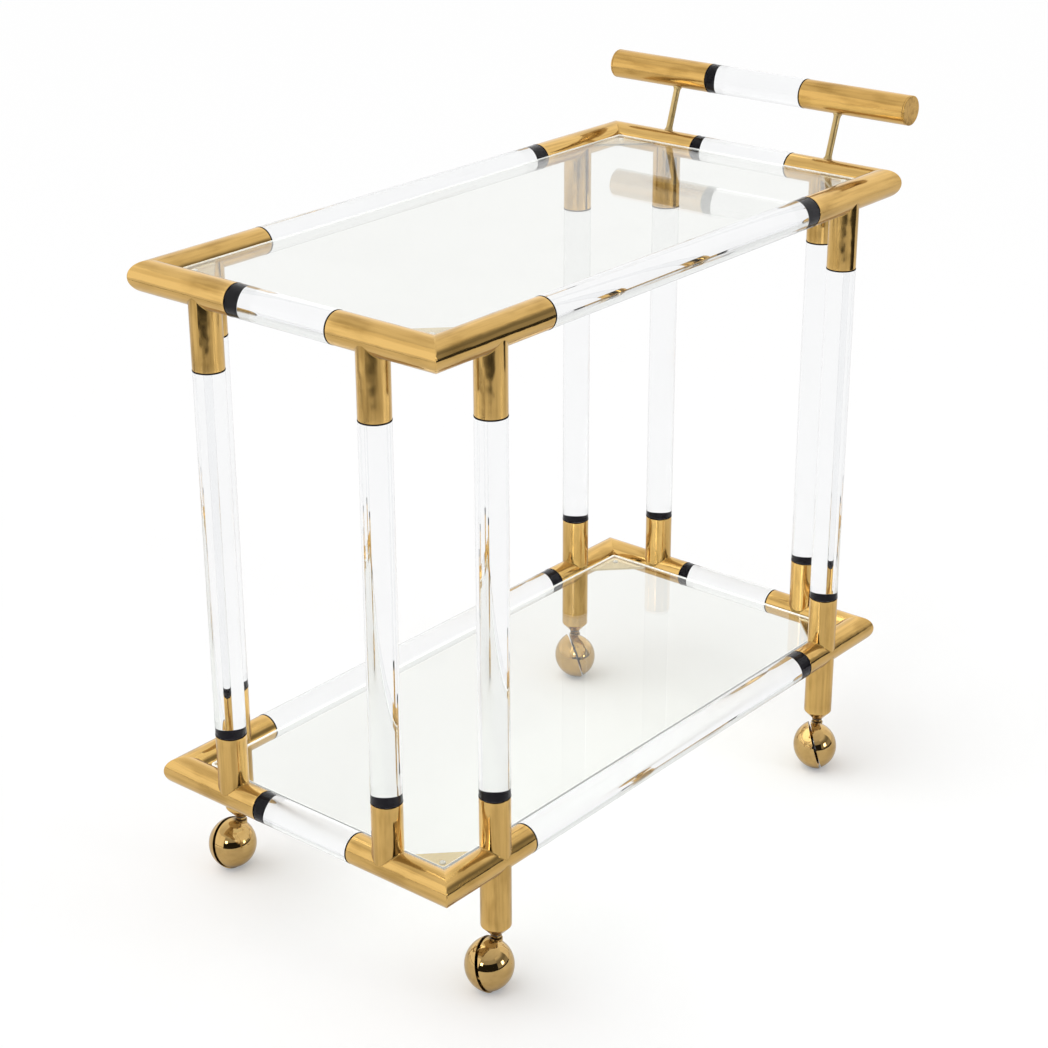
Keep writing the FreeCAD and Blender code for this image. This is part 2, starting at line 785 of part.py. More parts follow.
for tier_name, tier in TIERS.items():
    for corner_name in CORNERS:
        corner_fitting(tier_name, tier, corner_name)
    tier_rods(tier_name, tier)
    shelf(tier_name, tier)
posts()
handle()
casters()
doc.recompute()
check_document()

os.makedirs("parts", exist_ok=True)
for item in subparts:
    item.Shape.exportStep(f"parts/{item.Label}.step")
print(len(subparts), "sub-parts written")
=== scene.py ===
# %% [markdown]
# A rolling bar cart of brass tube, clear rod and glass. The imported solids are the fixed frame: they say
# where each piece is and how large it is, and nothing here moves them. What Blender adds is the surface:
# finer meshes with rounded edges, and finishes that catch the light as brass, clear plastic and glass do.

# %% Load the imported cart
import math

import bmesh
import bpy
import numpy as np
from mathutils import Matrix, Vector


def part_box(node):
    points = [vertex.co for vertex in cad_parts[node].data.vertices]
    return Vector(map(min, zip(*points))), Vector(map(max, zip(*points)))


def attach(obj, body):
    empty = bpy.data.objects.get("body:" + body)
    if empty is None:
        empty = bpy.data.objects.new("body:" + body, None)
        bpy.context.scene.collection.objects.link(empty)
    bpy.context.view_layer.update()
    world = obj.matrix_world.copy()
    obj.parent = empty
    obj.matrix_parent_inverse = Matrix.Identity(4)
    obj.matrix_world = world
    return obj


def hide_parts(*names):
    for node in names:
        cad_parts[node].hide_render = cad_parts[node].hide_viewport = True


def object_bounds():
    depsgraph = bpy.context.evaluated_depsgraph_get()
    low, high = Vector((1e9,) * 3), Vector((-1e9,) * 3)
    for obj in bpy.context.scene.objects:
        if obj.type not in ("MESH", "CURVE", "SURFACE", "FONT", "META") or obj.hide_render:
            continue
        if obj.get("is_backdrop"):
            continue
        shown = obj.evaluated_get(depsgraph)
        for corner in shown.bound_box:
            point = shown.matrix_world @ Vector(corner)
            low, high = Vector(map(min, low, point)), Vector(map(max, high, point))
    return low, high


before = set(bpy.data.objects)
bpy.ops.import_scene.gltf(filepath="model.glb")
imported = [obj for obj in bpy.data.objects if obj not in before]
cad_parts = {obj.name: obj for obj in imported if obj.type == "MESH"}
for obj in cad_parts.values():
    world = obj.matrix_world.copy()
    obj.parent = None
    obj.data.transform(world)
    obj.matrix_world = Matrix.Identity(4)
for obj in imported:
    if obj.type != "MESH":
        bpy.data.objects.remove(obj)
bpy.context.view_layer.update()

# %% [markdown]
# Every size that can be read from the solids is read from them, so the dressed cart follows the frame. The
# level rods give the tube's radius and the height of each tier, and the posts give the stub's radius.

# %% Measure the frame
MM = 0.001
UP = np.array((0.0, 0.0, 1.0))
TIERS = ("upper", "lower")
CORNERS = {"front_left": (-1, -1), "front_right": (-1, 1), "rear_left": (1, -1), "rear_right": (1, 1)}


def box(node):
    """The lowest and highest corner of a solid, as arrays."""
    low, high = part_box(node)
    return np.array(low), np.array(high)


def middle(node):
    low, high = box(node)
    return (low + high) / 2


def span(node):
    low, high = box(node)
    return high - low


tube_r = span("upper_front_rod")[0] / 2
post_r = span("front_left_end_post")[0] / 2
tier_z = {tier: middle(f"{tier}_front_rod")[2] for tier in TIERS}
print("tube radius", round(tube_r / MM, 2), "post radius", round(post_r / MM, 2), "tiers", tier_z)

# %% [markdown]
# All the tubes, rods and plugs of the cart are turned forms. A polished turned form shows every facet and
# every bent normal, so the meshes are built as grids of points with their true outward directions, which
# are then given to Blender as custom normals. Each point also keeps two marks for the finishes: "grain",
# its place measured along and across its own tube, and "wear", above 0 on rubbed edges and below 0 in
# seams.

# %% A skin made of grids
SEAM = 0.002 * MM


class Skin:
    """Gathers grids of points that share their borders and joins them into one closed surface."""

    def __init__(self):
        self.mesh = bmesh.new()
        layers = self.mesh.verts.layers
        self.facing = layers.float_vector.new("facing")
        self.grain = layers.float_vector.new("grain")
        # On the glass this mark also picks out the ground edges, which the glass finish dulls and gives a
        # painted glow.
        self.wear = layers.float.new("wear")

    def point(self, place, facing, grain, wear):
        vert = self.mesh.verts.new(place)
        vert[self.facing] = facing
        vert[self.grain] = grain
        vert[self.wear] = wear
        return vert

    def grid(self, rows, facings, axes, wears=0.0, loop=False):
        """Adds rows of points that each close on themselves; loop closes the last row on the first."""
        rows = np.asarray(rows, float)
        facings = np.broadcast_to(np.asarray(facings, float), rows.shape)
        wears = np.broadcast_to(np.reshape(wears, (-1, 1)), rows.shape[:2])
        grains = rows @ np.asarray(axes).T
        verts = [[self.point(*marks) for marks in zip(*line)] for line in zip(rows, facings, grains, wears)]
        across = len(verts[0])
        for one, other in zip(verts, verts[1:] + verts[:1] if loop else verts[1:]):
            for near in range(across):
                far = (near + 1) % across
                self.mesh.faces.new((one[near], one[far], other[far], other[near]))
        return verts

    def piece(self, name, material, slot, *nodes, body="cart"):
        """Closes the surface and makes it a piece of the cart that stands for the named solids."""
        bmesh.ops.remove_doubles(self.mesh, verts=self.mesh.verts, dist=SEAM)
        bmesh.ops.recalc_face_normals(self.mesh, faces=self.mesh.faces)
        data = bpy.data.meshes.new(name)
        self.mesh.to_mesh(data)
        self.mesh.free()
        data.polygons.foreach_set("use_smooth", [True] * len(data.polygons))
        facing = [tuple(mark.vector) for mark in data.attributes["facing"].data]
        data.normals_split_custom_set_from_vertices(facing)
        data.attributes.remove(data.attributes["facing"])
        data.materials.append(material)
        made = bpy.data.objects.new(name, data)
        bpy.context.scene.collection.objects.link(made)
        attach(made, body)
        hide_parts(*nodes)
        return made


# %% [markdown]
# A turned form is a profile of radius and height, spun round its axis. Real edges are never perfectly
# sharp: the small curve on them catches a thin line of light. So each corner of a profile is replaced by a
# short curve, and the outward direction is worked out along with it.

# %% Profiles and the lathe
EDGE_SHARE = 0.45
FULL_TURN = 2 * math.pi
NEARLY_UP = 0.9
LINES_ROUND = 96


def unit(vectors):
    vectors = np.asarray(vectors, float)
    return vectors / np.linalg.norm(vectors, axis=-1, keepdims=True)


def bend(start, corner, end, t):
    """A point of the curve that leaves start towards corner and arrives at end."""
    return start * (1 - t) ** 2 + corner * 2 * t * (1 - t) + end * t ** 2


def soften(points, radius, steps=4, loop=False):
    """Rounds the corners of a profile. Gives its points (radius, height) and their outward directions."""
    points = [np.array(p, float) for p in points]
    count = len(points)
    places, tangents = [], []
    for k, corner in enumerate(points):
        if not loop and k in (0, count - 1):
            places.append(corner)
            tangents.append(points[1] - points[0] if k == 0 else points[-1] - points[-2])
            continue
        back, ahead = points[k - 1] - corner, points[(k + 1) % count] - corner
        reach = min(radius, EDGE_SHARE * np.linalg.norm(back), EDGE_SHARE * np.linalg.norm(ahead))
        start, end = corner + unit(back) * reach, corner + unit(ahead) * reach
        for t in np.linspace(0, 1, steps + 1):
            places.append(bend(start, corner, end, t))
            tangents.append((corner - start) * (1 - t) + (end - corner) * t)
    tangents = unit(tangents)
    return np.array(places), np.column_stack((tangents[:, 1], -tangents[:, 0]))


def axes_along(axis):
    """Three unit directions: along the axis, and two across it."""
    along = unit(axis)
    helper = UP if abs(along[2]) < NEARLY_UP else np.array((1.0, 0.0, 0.0))
    side = unit(np.cross(helper, along))
    return along, side, np.cross(along, side)


def around(angle, first, second):
    """Directions at those angles, from first towards second."""
    return np.outer(np.cos(angle), first) + np.outer(np.sin(angle), second)


def spin(base, along, out, profile):
    """Rows of points and their facings, for a profile that goes round an axis in the directions out."""
    places, facings = profile
    rows = [base + along * height + out * radius for radius, height in places]
    return rows, [out * sideways + along * lengthways for sideways, lengthways in facings]


def lathe(skin, base, axis, profile, wears=0.0, loop=False, lines=LINES_ROUND):
    """Spins a softened profile round an axis through base."""
    along, side, other = axes_along(axis)
    angle = np.linspace(0, FULL_TURN, lines, endpoint=False)
    rows, facings = spin(base, along, around(angle, side, other), profile)
    skin.grid(rows, facings, (along, side, other), wears, loop=loop)


print("helpers ready: Skin, soften, lathe")

# %% [markdown]
# Finishes come next. A few node helpers keep the materials short to read. An effect that several finishes
# share is a node group with named sockets: it only puts out colours, values and heights that change over
# the surface, and each material keeps its own shader.

# %% Node helpers
# A Mix node has sockets for numbers, vectors and colours. These are its colour ones.
MIX_FIRST, MIX_SECOND, MIXED = 6, 7, 2


def node(tree, kind, **settings):
    """A new node of that kind, with its settings."""
    made = tree.nodes.new(kind)
    for name, value in settings.items():
        setattr(made, name, value)
    return made


def wire(tree, start, end):
    """Links a socket to another one, or sets a plain number or colour on it."""
    if isinstance(start, bpy.types.NodeSocket):
        tree.links.new(start, end)
    else:
        end.default_value = start


def new_group(name, inputs, outputs):
    """An empty node group with named sockets, and its input and output nodes."""
    group = bpy.data.node_groups.new(name, "ShaderNodeTree")
    for label, kind, value in inputs:
        socket = group.interface.new_socket(label, in_out="INPUT", socket_type=f"NodeSocket{kind}")
        if value is not None:
            socket.default_value = value
    for label, kind in outputs:
        group.interface.new_socket(label, in_out="OUTPUT", socket_type=f"NodeSocket{kind}")
    return group, node(group, "NodeGroupInput"), node(group, "NodeGroupOutput")


def stretched_noise(tree, place, stretch, detail):
    """Noise that is drawn out by different amounts along and across the tube."""
    scaled = node(tree, "ShaderNodeVectorMath", operation="MULTIPLY")
    scaled.inputs[1].default_value = stretch
    wire(tree, place, scaled.inputs[0])
    noise = node(tree, "ShaderNodeTexNoise")
    noise.inputs["Scale"].default_value = 1.0
    noise.inputs["Detail"].default_value = detail
    wire(tree, scaled.outputs[0], noise.inputs["Vector"])
    return noise.outputs["Fac"]


def remap(tree, value, low, high, to_low=0.0, to_high=1.0):
    """Stretches a value from one range to another; the limits may be numbers or sockets."""
    ranged = node(tree, "ShaderNodeMapRange", interpolation_type="SMOOTHSTEP")
    wire(tree, value, ranged.inputs["Value"])
    for label, limit in (("From Min", low), ("From Max", high), ("To Min", to_low), ("To Max", to_high)):
        wire(tree, limit, ranged.inputs[label])
    return ranged.outputs["Result"]


def math_of(tree, operation, *terms, clamp=False):
    """The result of a sum; each term may be a number or a socket."""
    made = node(tree, "ShaderNodeMath", operation=operation, use_clamp=clamp)
    for socket, term in zip(made.inputs, terms):
        wire(tree, term, socket)
    return made.outputs[0]


def blend_colours(tree, factor, first, second):
    """A mix of two colours; each may be a colour or a socket."""
    mixed = node(tree, "ShaderNodeMix", data_type="RGBA")
    wire(tree, factor, mixed.inputs["Factor"])
    wire(tree, first, mixed.inputs[MIX_FIRST])
    wire(tree, second, mixed.inputs[MIX_SECOND])
    return mixed.outputs[MIXED]


print("helpers ready: node, wire, new_group and four that build on them")

# %% [markdown]
# Tube polish. Brass tube is drawn and then brushed along its length, so its gloss changes in long faint
# streaks. With age it takes a browner film in blotches, which hands rub off again at the edges, and the
# polishing wheel leaves slow waves that bend what it mirrors. It could be painted, but noise drawn out
# along the tube gives the same look at any length. The same group serves the steel pieces.

# %% The tube polish group
# How often each pattern changes in a metre, along the tube and across it.
STREAKS = (9, 210, 210)
BLOTCHES = (16, 60, 60)
HAIRS = (60, 2600, 2600)
WAVES = (38, 95, 95)
STREAK_SHARE, BLOTCH_SHARE = 0.45, 0.55
STREAK_DEPTH, WAVE_DEPTH = 0.6, 26.0

polish, given, out = new_group(
    "tube_polish",
    [("Place", "Vector", None), ("Wear", "Float", 0.0), ("Bright", "Color", (0.8, 0.5, 0.2, 1)),
     ("Film", "Color", (0.5, 0.3, 0.1, 1)), ("Film Amount", "Float", 0.5), ("Smooth", "Float", 0.15),
     ("Dull", "Float", 0.3)],
    [("Colour", "Color"), ("Roughness", "Float"), ("Height", "Float")])
place = given.outputs["Place"]
streak = remap(polish, stretched_noise(polish, place, STREAKS, detail=5), low=0.38, high=0.72)
blotch = remap(polish, stretched_noise(polish, place, BLOTCHES, detail=3), low=0.42, high=0.70)
hair = stretched_noise(polish, place, HAIRS, detail=2)
wave = stretched_noise(polish, place, WAVES, detail=1)
streaked = math_of(polish, "MULTIPLY", streak, STREAK_SHARE)
film = math_of(polish, "ADD", streaked, math_of(polish, "MULTIPLY", blotch, BLOTCH_SHARE))
film = math_of(polish, "MULTIPLY", film, given.outputs["Film Amount"])
film = math_of(polish, "SUBTRACT", film, given.outputs["Wear"], clamp=True)
colour = blend_colours(polish, film, given.outputs["Bright"], given.outputs["Film"])
wire(polish, colour, out.inputs["Colour"])
gloss = remap(polish, film, 0.0, 1.0, given.outputs["Smooth"], given.outputs["Dull"])
wire(polish, gloss, out.inputs["Roughness"])
relief = math_of(polish, "ADD", hair, math_of(polish, "MULTIPLY", streak, STREAK_DEPTH))
relief = math_of(polish, "ADD", relief, math_of(polish, "MULTIPLY", wave, WAVE_DEPTH))
wire(polish, relief, out.inputs["Height"])
print("group:", polish.name, len(polish.nodes), "nodes")

# %% [markdown]
# Handling marks. Clear plastic, glass and rubber are even in colour, but hands and cloths leave soft
# smudges and fine hairlines that only show in the gloss. The group gives a roughness between two limits and
# a mask.

# %% The handling group
SMUDGES = (1, 1, 1)
HAIRLINES = (0.7, 22, 22)
HAIRLINE_SHARE = 0.7

handling, given, out = new_group(
    "handling_marks",
    [("Place", "Vector", None), ("Size", "Vector", (20, 20, 20)), ("Smooth", "Float", 0.0),
     ("Dull", "Float", 0.05)],
    [("Roughness", "Float"), ("Mask", "Float")])
sized = node(handling, "ShaderNodeVectorMath", operation="MULTIPLY")
wire(handling, given.outputs["Place"], sized.inputs[0])
wire(handling, given.outputs["Size"], sized.inputs[1])
place = sized.outputs[0]
smudge = remap(handling, stretched_noise(handling, place, SMUDGES, detail=4), low=0.45, high=0.75)
hairline = remap(handling, stretched_noise(handling, place, HAIRLINES, detail=2), low=0.66, high=0.78)
marks = math_of(handling, "MAXIMUM", smudge, math_of(handling, "MULTIPLY", hairline, HAIRLINE_SHARE))
wire(handling, marks, out.inputs["Mask"])
gloss = remap(handling, marks, 0.0, 1.0, given.outputs["Smooth"], given.outputs["Dull"])
wire(handling, gloss, out.inputs["Roughness"])
print("group:", handling.name, len(handling.nodes), "nodes")

# %% [markdown]
# Every finish is made the same way: an empty material, one shader, a shared effect with its own values and
# a very fine relief. These steps could be written out each time, but as helpers they leave only what
# differs to read.

# %% Helpers for the materials
RELIEF = 0.05 * MM


def empty_material(name):
    """A material with no nodes, and its node tree."""
    made = bpy.data.materials.new(name)
    made.use_nodes = True
    made.node_tree.nodes.clear()
    return made, made.node_tree


def show(tree, shader):
    """Makes a shader the surface of its material."""
    wire(tree, shader.outputs[0], node(tree, "ShaderNodeOutputMaterial").inputs["Surface"])


def shader_of(tree):
    """A Principled shader that is the surface of its material."""
    shader = node(tree, "ShaderNodeBsdfPrincipled")
    show(tree, shader)
    return shader


def mix_shaders(tree, factor, first, second):
    """Goes from the first shader to the second as the factor goes from 0 to 1."""
    mixed = node(tree, "ShaderNodeMixShader")
    wire(tree, factor, mixed.inputs["Fac"])
    wire(tree, first.outputs[0], mixed.inputs[1])
    wire(tree, second.outputs[0], mixed.inputs[2])
    return mixed


def place_of(tree, grain):
    """Where a point is: in its own tube's directions, or in space."""
    if grain:
        return node(tree, "ShaderNodeAttribute", attribute_name="grain").outputs["Vector"]
    return node(tree, "ShaderNodeTexCoord").outputs["Object"]


def in_a_mirror(tree):
    """1 for a ray that a mirror has thrown back, and 0 for any other."""
    path = node(tree, "ShaderNodeLightPath")
    return math_of(tree, "MULTIPLY", path.outputs["Is Glossy Ray"], path.outputs["Is Reflection Ray"])


def wear_of(tree):
    """The mark that each point carries for rubbed edges and seams, and on the glass for ground edges with
    their painted glow.
    """
    return node(tree, "ShaderNodeAttribute", attribute_name="wear").outputs["Fac"]


def use_group(tree, group, place, values):
    """Places a shared effect in a material, with the material's own values."""
    look = node(tree, "ShaderNodeGroup", node_tree=group)
    wire(tree, place, look.inputs["Place"])
    for label, value in values.items():
        look.inputs[label].default_value = value
    return look


def relief_of(tree, height, strength):
    """A normal that follows very fine relief."""
    relief = node(tree, "ShaderNodeBump")
    relief.inputs["Strength"].default_value = strength
    relief.inputs["Distance"].default_value = RELIEF
    wire(tree, height, relief.inputs["Height"])
    return relief.outputs["Normal"]


print("relief depth", RELIEF / MM, "mm")

# %% [markdown]
# Brass. The tubes are satin: metal with a soft gloss, warm gold where it mirrors white and brown where it
# mirrors the dark room. The handle's stems are duller, and the ball casters are polished much brighter,
# with painted shade in the gap that the wheel turns in: near black and duller where ambient occlusion finds
# the parts close together. All use the tube polish with their own values; the solids that stay have no grain
# of their own and use their place in space. Brass seen in brass would turn orange, as each mirror tints the
# light again; the photo shows a brown there, so a mirrored ray finds a greyer brass.

# %% Brass and steel
# Painted shade for narrow gaps: the near-black colour and the duller gloss that the gaps are blended to.
GAP_SHADE = (0.018, 0.012, 0.008, 1)
GAP_SHADE_ROUGHNESS = 0.55


def metal(name, bright, film, amount, smooth, dull, bump, grain=True, gap_shade_reach=0.0, again=None):
    """A metal finish; gap_shade_reach is how far painted shade reaches into gaps, again its colour where
    metal mirrors it.
    """
    made, tree = empty_material(name)
    shader = shader_of(tree)
    shader.inputs["Metallic"].default_value = 1.0
    look = use_group(tree, polish, place_of(tree, grain), {
        "Bright": (*bright, 1), "Film": (*film, 1), "Film Amount": amount, "Smooth": smooth, "Dull": dull})
    if grain:
        wire(tree, wear_of(tree), look.inputs["Wear"])
    colour, roughness = look.outputs["Colour"], look.outputs["Roughness"]
    if gap_shade_reach:
        # Painted shade: where ambient occlusion finds other surfaces close by, as in a caster's gap, the
        # colour is blended towards near black and the gloss is dulled.
        shut_in = node(tree, "ShaderNodeAmbientOcclusion", samples=8)
        shut_in.inputs["Distance"].default_value = gap_shade_reach
        painted_shade = remap(tree, shut_in.outputs["AO"], low=0.30, high=0.72, to_low=1.0, to_high=0.0)
        colour = blend_colours(tree, painted_shade, colour, GAP_SHADE)
        roughness = math_of(tree, "MAXIMUM", roughness, math_of(tree, "MULTIPLY", painted_shade, GAP_SHADE_ROUGHNESS))
    if again:
        colour = blend_colours(tree, in_a_mirror(tree), colour, (*again, 1))
    wire(tree, colour, shader.inputs["Base Color"])
    wire(tree, roughness, shader.inputs["Roughness"])
    wire(tree, relief_of(tree, look.outputs["Height"], bump), shader.inputs["Normal"])
    return made


GOLD = (0.85, 0.54, 0.18)
TARNISH = (0.46, 0.27, 0.07)
MIRRORED = (0.58, 0.46, 0.30)
brass_tube = metal("brass_tube", GOLD, TARNISH, amount=0.9, smooth=0.08, dull=0.22, bump=0.25, again=MIRRORED)
brass_handle = metal("brass_handle", (0.80, 0.49, 0.15), (0.42, 0.235, 0.055),
                     amount=1.0, smooth=0.14, dull=0.34, bump=0.25, again=MIRRORED)
brass_stem = metal("brass_stem", (0.72, 0.53, 0.24), (0.44, 0.31, 0.12),
                   amount=0.8, smooth=0.34, dull=0.50, bump=0.25, again=MIRRORED)
brass_plate = metal("brass_plate", (0.90, 0.74, 0.46), (0.78, 0.60, 0.33),
                    amount=0.7, smooth=0.16, dull=0.30, bump=0.2, again=MIRRORED)
# The balls carry painted shade 9 mm into the gap between wheel and hood.
brass_ball = metal("brass_ball", (0.74, 0.49, 0.19), (0.52, 0.32, 0.11),
                   amount=0.6, smooth=0.05, dull=0.12, bump=0.04, grain=False, gap_shade_reach=9 * MM, again=MIRRORED)
steel = metal("turned_steel", (0.60, 0.60, 0.61), (0.42, 0.41, 0.40),
              amount=0.6, smooth=0.2, dull=0.35, bump=0.1, grain=False)
metals = (brass_tube, brass_handle, brass_stem, brass_plate, brass_ball, steel)
print("metals:", *(made.name for made in metals))

# %% [markdown]
# Clear rod and shelf glass. Both let light through and bend it, so they need real transmission with the
# right index of refraction: 1.49 for the rod, 1.5 for the glass. A path tracer makes clear things cast dark
# shadows unless it follows caustics, so the light that only asks about shadow passes straight through with
# a light tint. The ground edge of a shelf also has a faint painted glow, which stands in for the light that
# runs along inside the glass.

# %% Clear rod and shelf glass
PAINTED_EDGE_GLOW = (0.34, 0.35, 0.34, 1)
GLANCE = (0.2, 0.2, 0.2, 1)


def clear(name, tint, tinted, ior, size, dull, shade, ground=0.0):
    """A clear finish with smudges; ground is how matt its ground edges are, and any ground also gives them a
    painted glow.
    """
    made, tree = empty_material(name)
    shader = node(tree, "ShaderNodeBsdfPrincipled")
    shader.inputs["IOR"].default_value = ior
    shader.inputs["Transmission Weight"].default_value = 1.0
    shader.inputs["Specular Tint"].default_value = GLANCE
    marks = use_group(tree, handling, place_of(tree, True), {"Size": size, "Smooth": 0.0, "Dull": dull})
    colour = blend_colours(tree, marks.outputs["Mask"], (*tint, 1), (*tinted, 1))
    roughness = marks.outputs["Roughness"]
    if ground:
        edge = wear_of(tree)
        roughness = math_of(tree, "MAXIMUM", roughness, math_of(tree, "MULTIPLY", edge, ground))
        # Painted light: the marked ground edges glow a faint grey, standing in for light that runs inside the
        # glass.
        wire(tree, blend_colours(tree, edge, (0, 0, 0, 1), PAINTED_EDGE_GLOW), shader.inputs["Emission Color"])
        shader.inputs["Emission Strength"].default_value = 1.0
    wire(tree, colour, shader.inputs["Base Color"])
    wire(tree, roughness, shader.inputs["Roughness"])
    passing = node(tree, "ShaderNodeBsdfTransparent")
    passing.inputs["Color"].default_value = (*shade, 1)
    shadow = node(tree, "ShaderNodeLightPath").outputs["Is Shadow Ray"]
    show(tree, mix_shaders(tree, shadow, shader, passing))
    return made


clear_rod = clear("clear_rod", tint=(0.945, 0.95, 0.955), tinted=(0.925, 0.93, 0.935), ior=1.49,
                  size=(18, 40, 40), dull=0.05, shade=(0.93, 0.94, 0.945))
shelf_glass = clear("shelf_glass", tint=(0.915, 0.925, 0.90), tinted=(0.90, 0.91, 0.885), ior=1.5,
                    size=(9, 9, 9), dull=0.03, shade=(0.95, 0.96, 0.955), ground=0.45)
print("clear finishes:", clear_rod.name, shelf_glass.name)

# %% [markdown]
# Plain plastics. The plugs that hold the clear rods are matt black, the washers under the legs are dull
# nylon, and the pads under the glass are a milky gel. None is one flat colour: the handling marks lift the
# gloss and the colour in soft patches.

# %% Black plug, washer and pad
RUBBED = (120, 120, 120)
PLASTIC_BUMP = 0.15


def plastic(name, base, lifted, smooth, dull, gloss, grain=True):
    """A plain plastic whose colour and gloss lift a little where it was handled."""
    made, tree = empty_material(name)
    shader = shader_of(tree)
    shader.inputs["Specular IOR Level"].default_value = gloss
    values = {"Size": RUBBED, "Smooth": smooth, "Dull": dull}
    marks = use_group(tree, handling, place_of(tree, grain), values)
    mask = marks.outputs["Mask"]
    wire(tree, blend_colours(tree, mask, (*base, 1), (*lifted, 1)), shader.inputs["Base Color"])
    wire(tree, marks.outputs["Roughness"], shader.inputs["Roughness"])
    wire(tree, relief_of(tree, mask, PLASTIC_BUMP), shader.inputs["Normal"])
    return made


black_plug = plastic("black_plug", (0.011, 0.010, 0.013), (0.018, 0.016, 0.020),
                     smooth=0.45, dull=0.60, gloss=0.0)
nylon = plastic("nylon_washer", (0.05, 0.045, 0.04), (0.09, 0.08, 0.07),
                smooth=0.4, dull=0.6, gloss=0.4, grain=False)
pad_gel = plastic("pad_gel", (0.90, 0.88, 0.82), (0.80, 0.77, 0.70), smooth=0.25, dull=0.4, gloss=0.3)
print("plastics:", black_plug.name, nylon.name, pad_gel.name)

# %% [markdown]
# Clear rods and posts. Each is one plain bar with its ends cut square and the edges just broken. The square
# ends matter: the black plugs behind them are seen through the bar, as wide black bands where an end faces
# the eye. A ready-made cylinder with a bevel would look alike from afar, but the lathe gives exact normals
# and the grain.

# %% Turn the rods
DIRECTIONS = np.eye(3)
ROD_EDGE = 0.3 * MM
rods = {}
for tier in TIERS:
    for side, axis in (("front", 1), ("rear", 1), ("left", 0), ("right", 0)):
        rods[f"{tier}_{side}_rod"] = (axis, tube_r)
for corner in CORNERS:
    for arm in ("side", "end"):
        rods[f"{corner}_{arm}_post"] = (2, post_r)
rods["handle_rod"] = (1, tube_r)


def rod_line(name):
    """A rod's direction, a point of its centre line, its start and end along that line, and its radius."""
    axis, radius = rods[name]
    start, end = (corner[axis] for corner in box(name))
    return DIRECTIONS[axis], middle(name) * (1 - DIRECTIONS[axis]), start, end, radius


for name in rods:
    along, line, start, end, radius = rod_line(name)
    skin = Skin()
    lathe(skin, line, along, soften([(0, start), (radius, start), (radius, end), (0, end)], ROD_EDGE))
    skin.piece(f"{name}_clear", clear_rod, "clear_acrylic", name)
print("clear bars:", len(rods))

# %% [markdown]
# Black plugs. A plug fills the end of a brass tube, and its thin flange shows as a black line at the joint.
# Glue joins it to the rod, so no air is left between them: here the plug's face is let a hair into the
# rod's end, which keeps the mirror of a clear end face from hiding the black. Plugs that are one solid in
# the frame stay one piece.

# %% Turn the plugs
WALL = 2.0 * MM
CLEARANCE = 0.1 * MM
PLUG = 30.0 * MM
FLANGE = 1.4 * MM
FLANGE_PROUD = 0.2 * MM
GLUE = 0.05 * MM
GLUE_RIM = 0.4 * MM
PLUG_EDGE = 0.3 * MM


def turn_plug(skin, foot, axis, radius):
    """A plug that goes back into the tube from foot, with its flange ahead."""
    fit, outer, face = radius - WALL - CLEARANCE, radius + FLANGE_PROUD, radius - GLUE_RIM
    profile = soften([(0, -PLUG), (fit, -PLUG), (fit, 0), (outer, 0), (outer, FLANGE), (face, FLANGE),
                      (face, FLANGE + GLUE), (0, FLANGE + GLUE)], PLUG_EDGE)
    lathe(skin, foot, axis, profile)


plug_groups = {
    "upper_rod_plugs": [name for name in rods if name.startswith("upper_")],
    "lower_rod_plugs": [name for name in rods if name.startswith("lower_")],
    "post_plugs": [name for name in rods if name.endswith("_post")],
    "handle_plugs": ["handle_rod"],
}
for group, names in plug_groups.items():
    skin = Skin()
    for name in names:
        along, line, start, end, radius = rod_line(name)
        turn_plug(skin, line + along * (start - FLANGE), along, radius)
        turn_plug(skin, line + along * (end + FLANGE), -along, radius)
    skin.piece(f"{group}_black", black_plug, "black_plug", group)
print("plugs:", 2 * sum(len(names) for names in plug_groups.values()))

# %% [markdown]
# Brass corners. Each is two tubes mitred at a right angle, with short stubs brazed on for the posts and,
# below, a leg for the caster. Blender's boolean tool could join them, but it leaves long thin faces that
# spoil the reflections. Here every line along an arm meets a line of the stub, so the grids share their
# borders, and a small fillet of braze and a softened mitre edge can be laid between them.

# %% Lines along an arm
ARC = 32
GAP = 8
half_turn = np.linspace(-math.pi / 2, math.pi / 2, ARC + 1)


def arm_lines(top_r, low_r):
    """Angles of the lines round an arm, from its top, with how far each cuts into a branch above or below."""
    top = np.arcsin(top_r * np.sin(half_turn) / tube_r)
    low = math.pi - np.arcsin(low_r * np.sin(half_turn[::-1]) / tube_r)
    right = np.linspace(top[-1], low[0], GAP + 1)[1:-1]
    left = np.linspace(low[-1], FULL_TURN + top[0], GAP + 1)[1:-1]
    none = np.zeros(GAP - 1)
    flat = np.zeros(ARC + 1)
    angle = np.concatenate((top, right, low, left))
    into_top = np.concatenate((np.cos(half_turn), none, flat, none))
    into_low = np.concatenate((flat, none, np.cos(half_turn), none))
    return angle, into_top, into_low


print("lines round an upper arm:", len(arm_lines(post_r, post_r)[0]))

# %% [markdown]
# A branch is a stub or the caster leg. Its foot is the saddle line where the two tubes meet, then come the
# fillet of braze, the straight wall and the turned end.

# %% A branch on an arm
BRAZE = 1.6 * MM
FILLET_STEPS = np.linspace(0, 1, 6)
FILLET_WEAR = [-0.1, -0.35, -0.5, -0.5, -0.35, -0.1]
WALL_STEPS = np.array((0, 0.01, 0.15, 0.4, 0.7, 0.9, 1.0))
WALL_WEAR = [-0.1, 0, 0, 0, 0, 0, 0.15]
RIM = 3 * MM
RIM_EDGE = 0.7 * MM
BORE_DEPTH = 40 * MM
JOIN_WEAR, RIM_WEAR = 0.15, 0.3


def end_wear(profile):
    """The wear along a turned end: rubbed, and less so where it joins the wall."""
    return [JOIN_WEAR] + [RIM_WEAR] * (len(profile[0]) - 1)


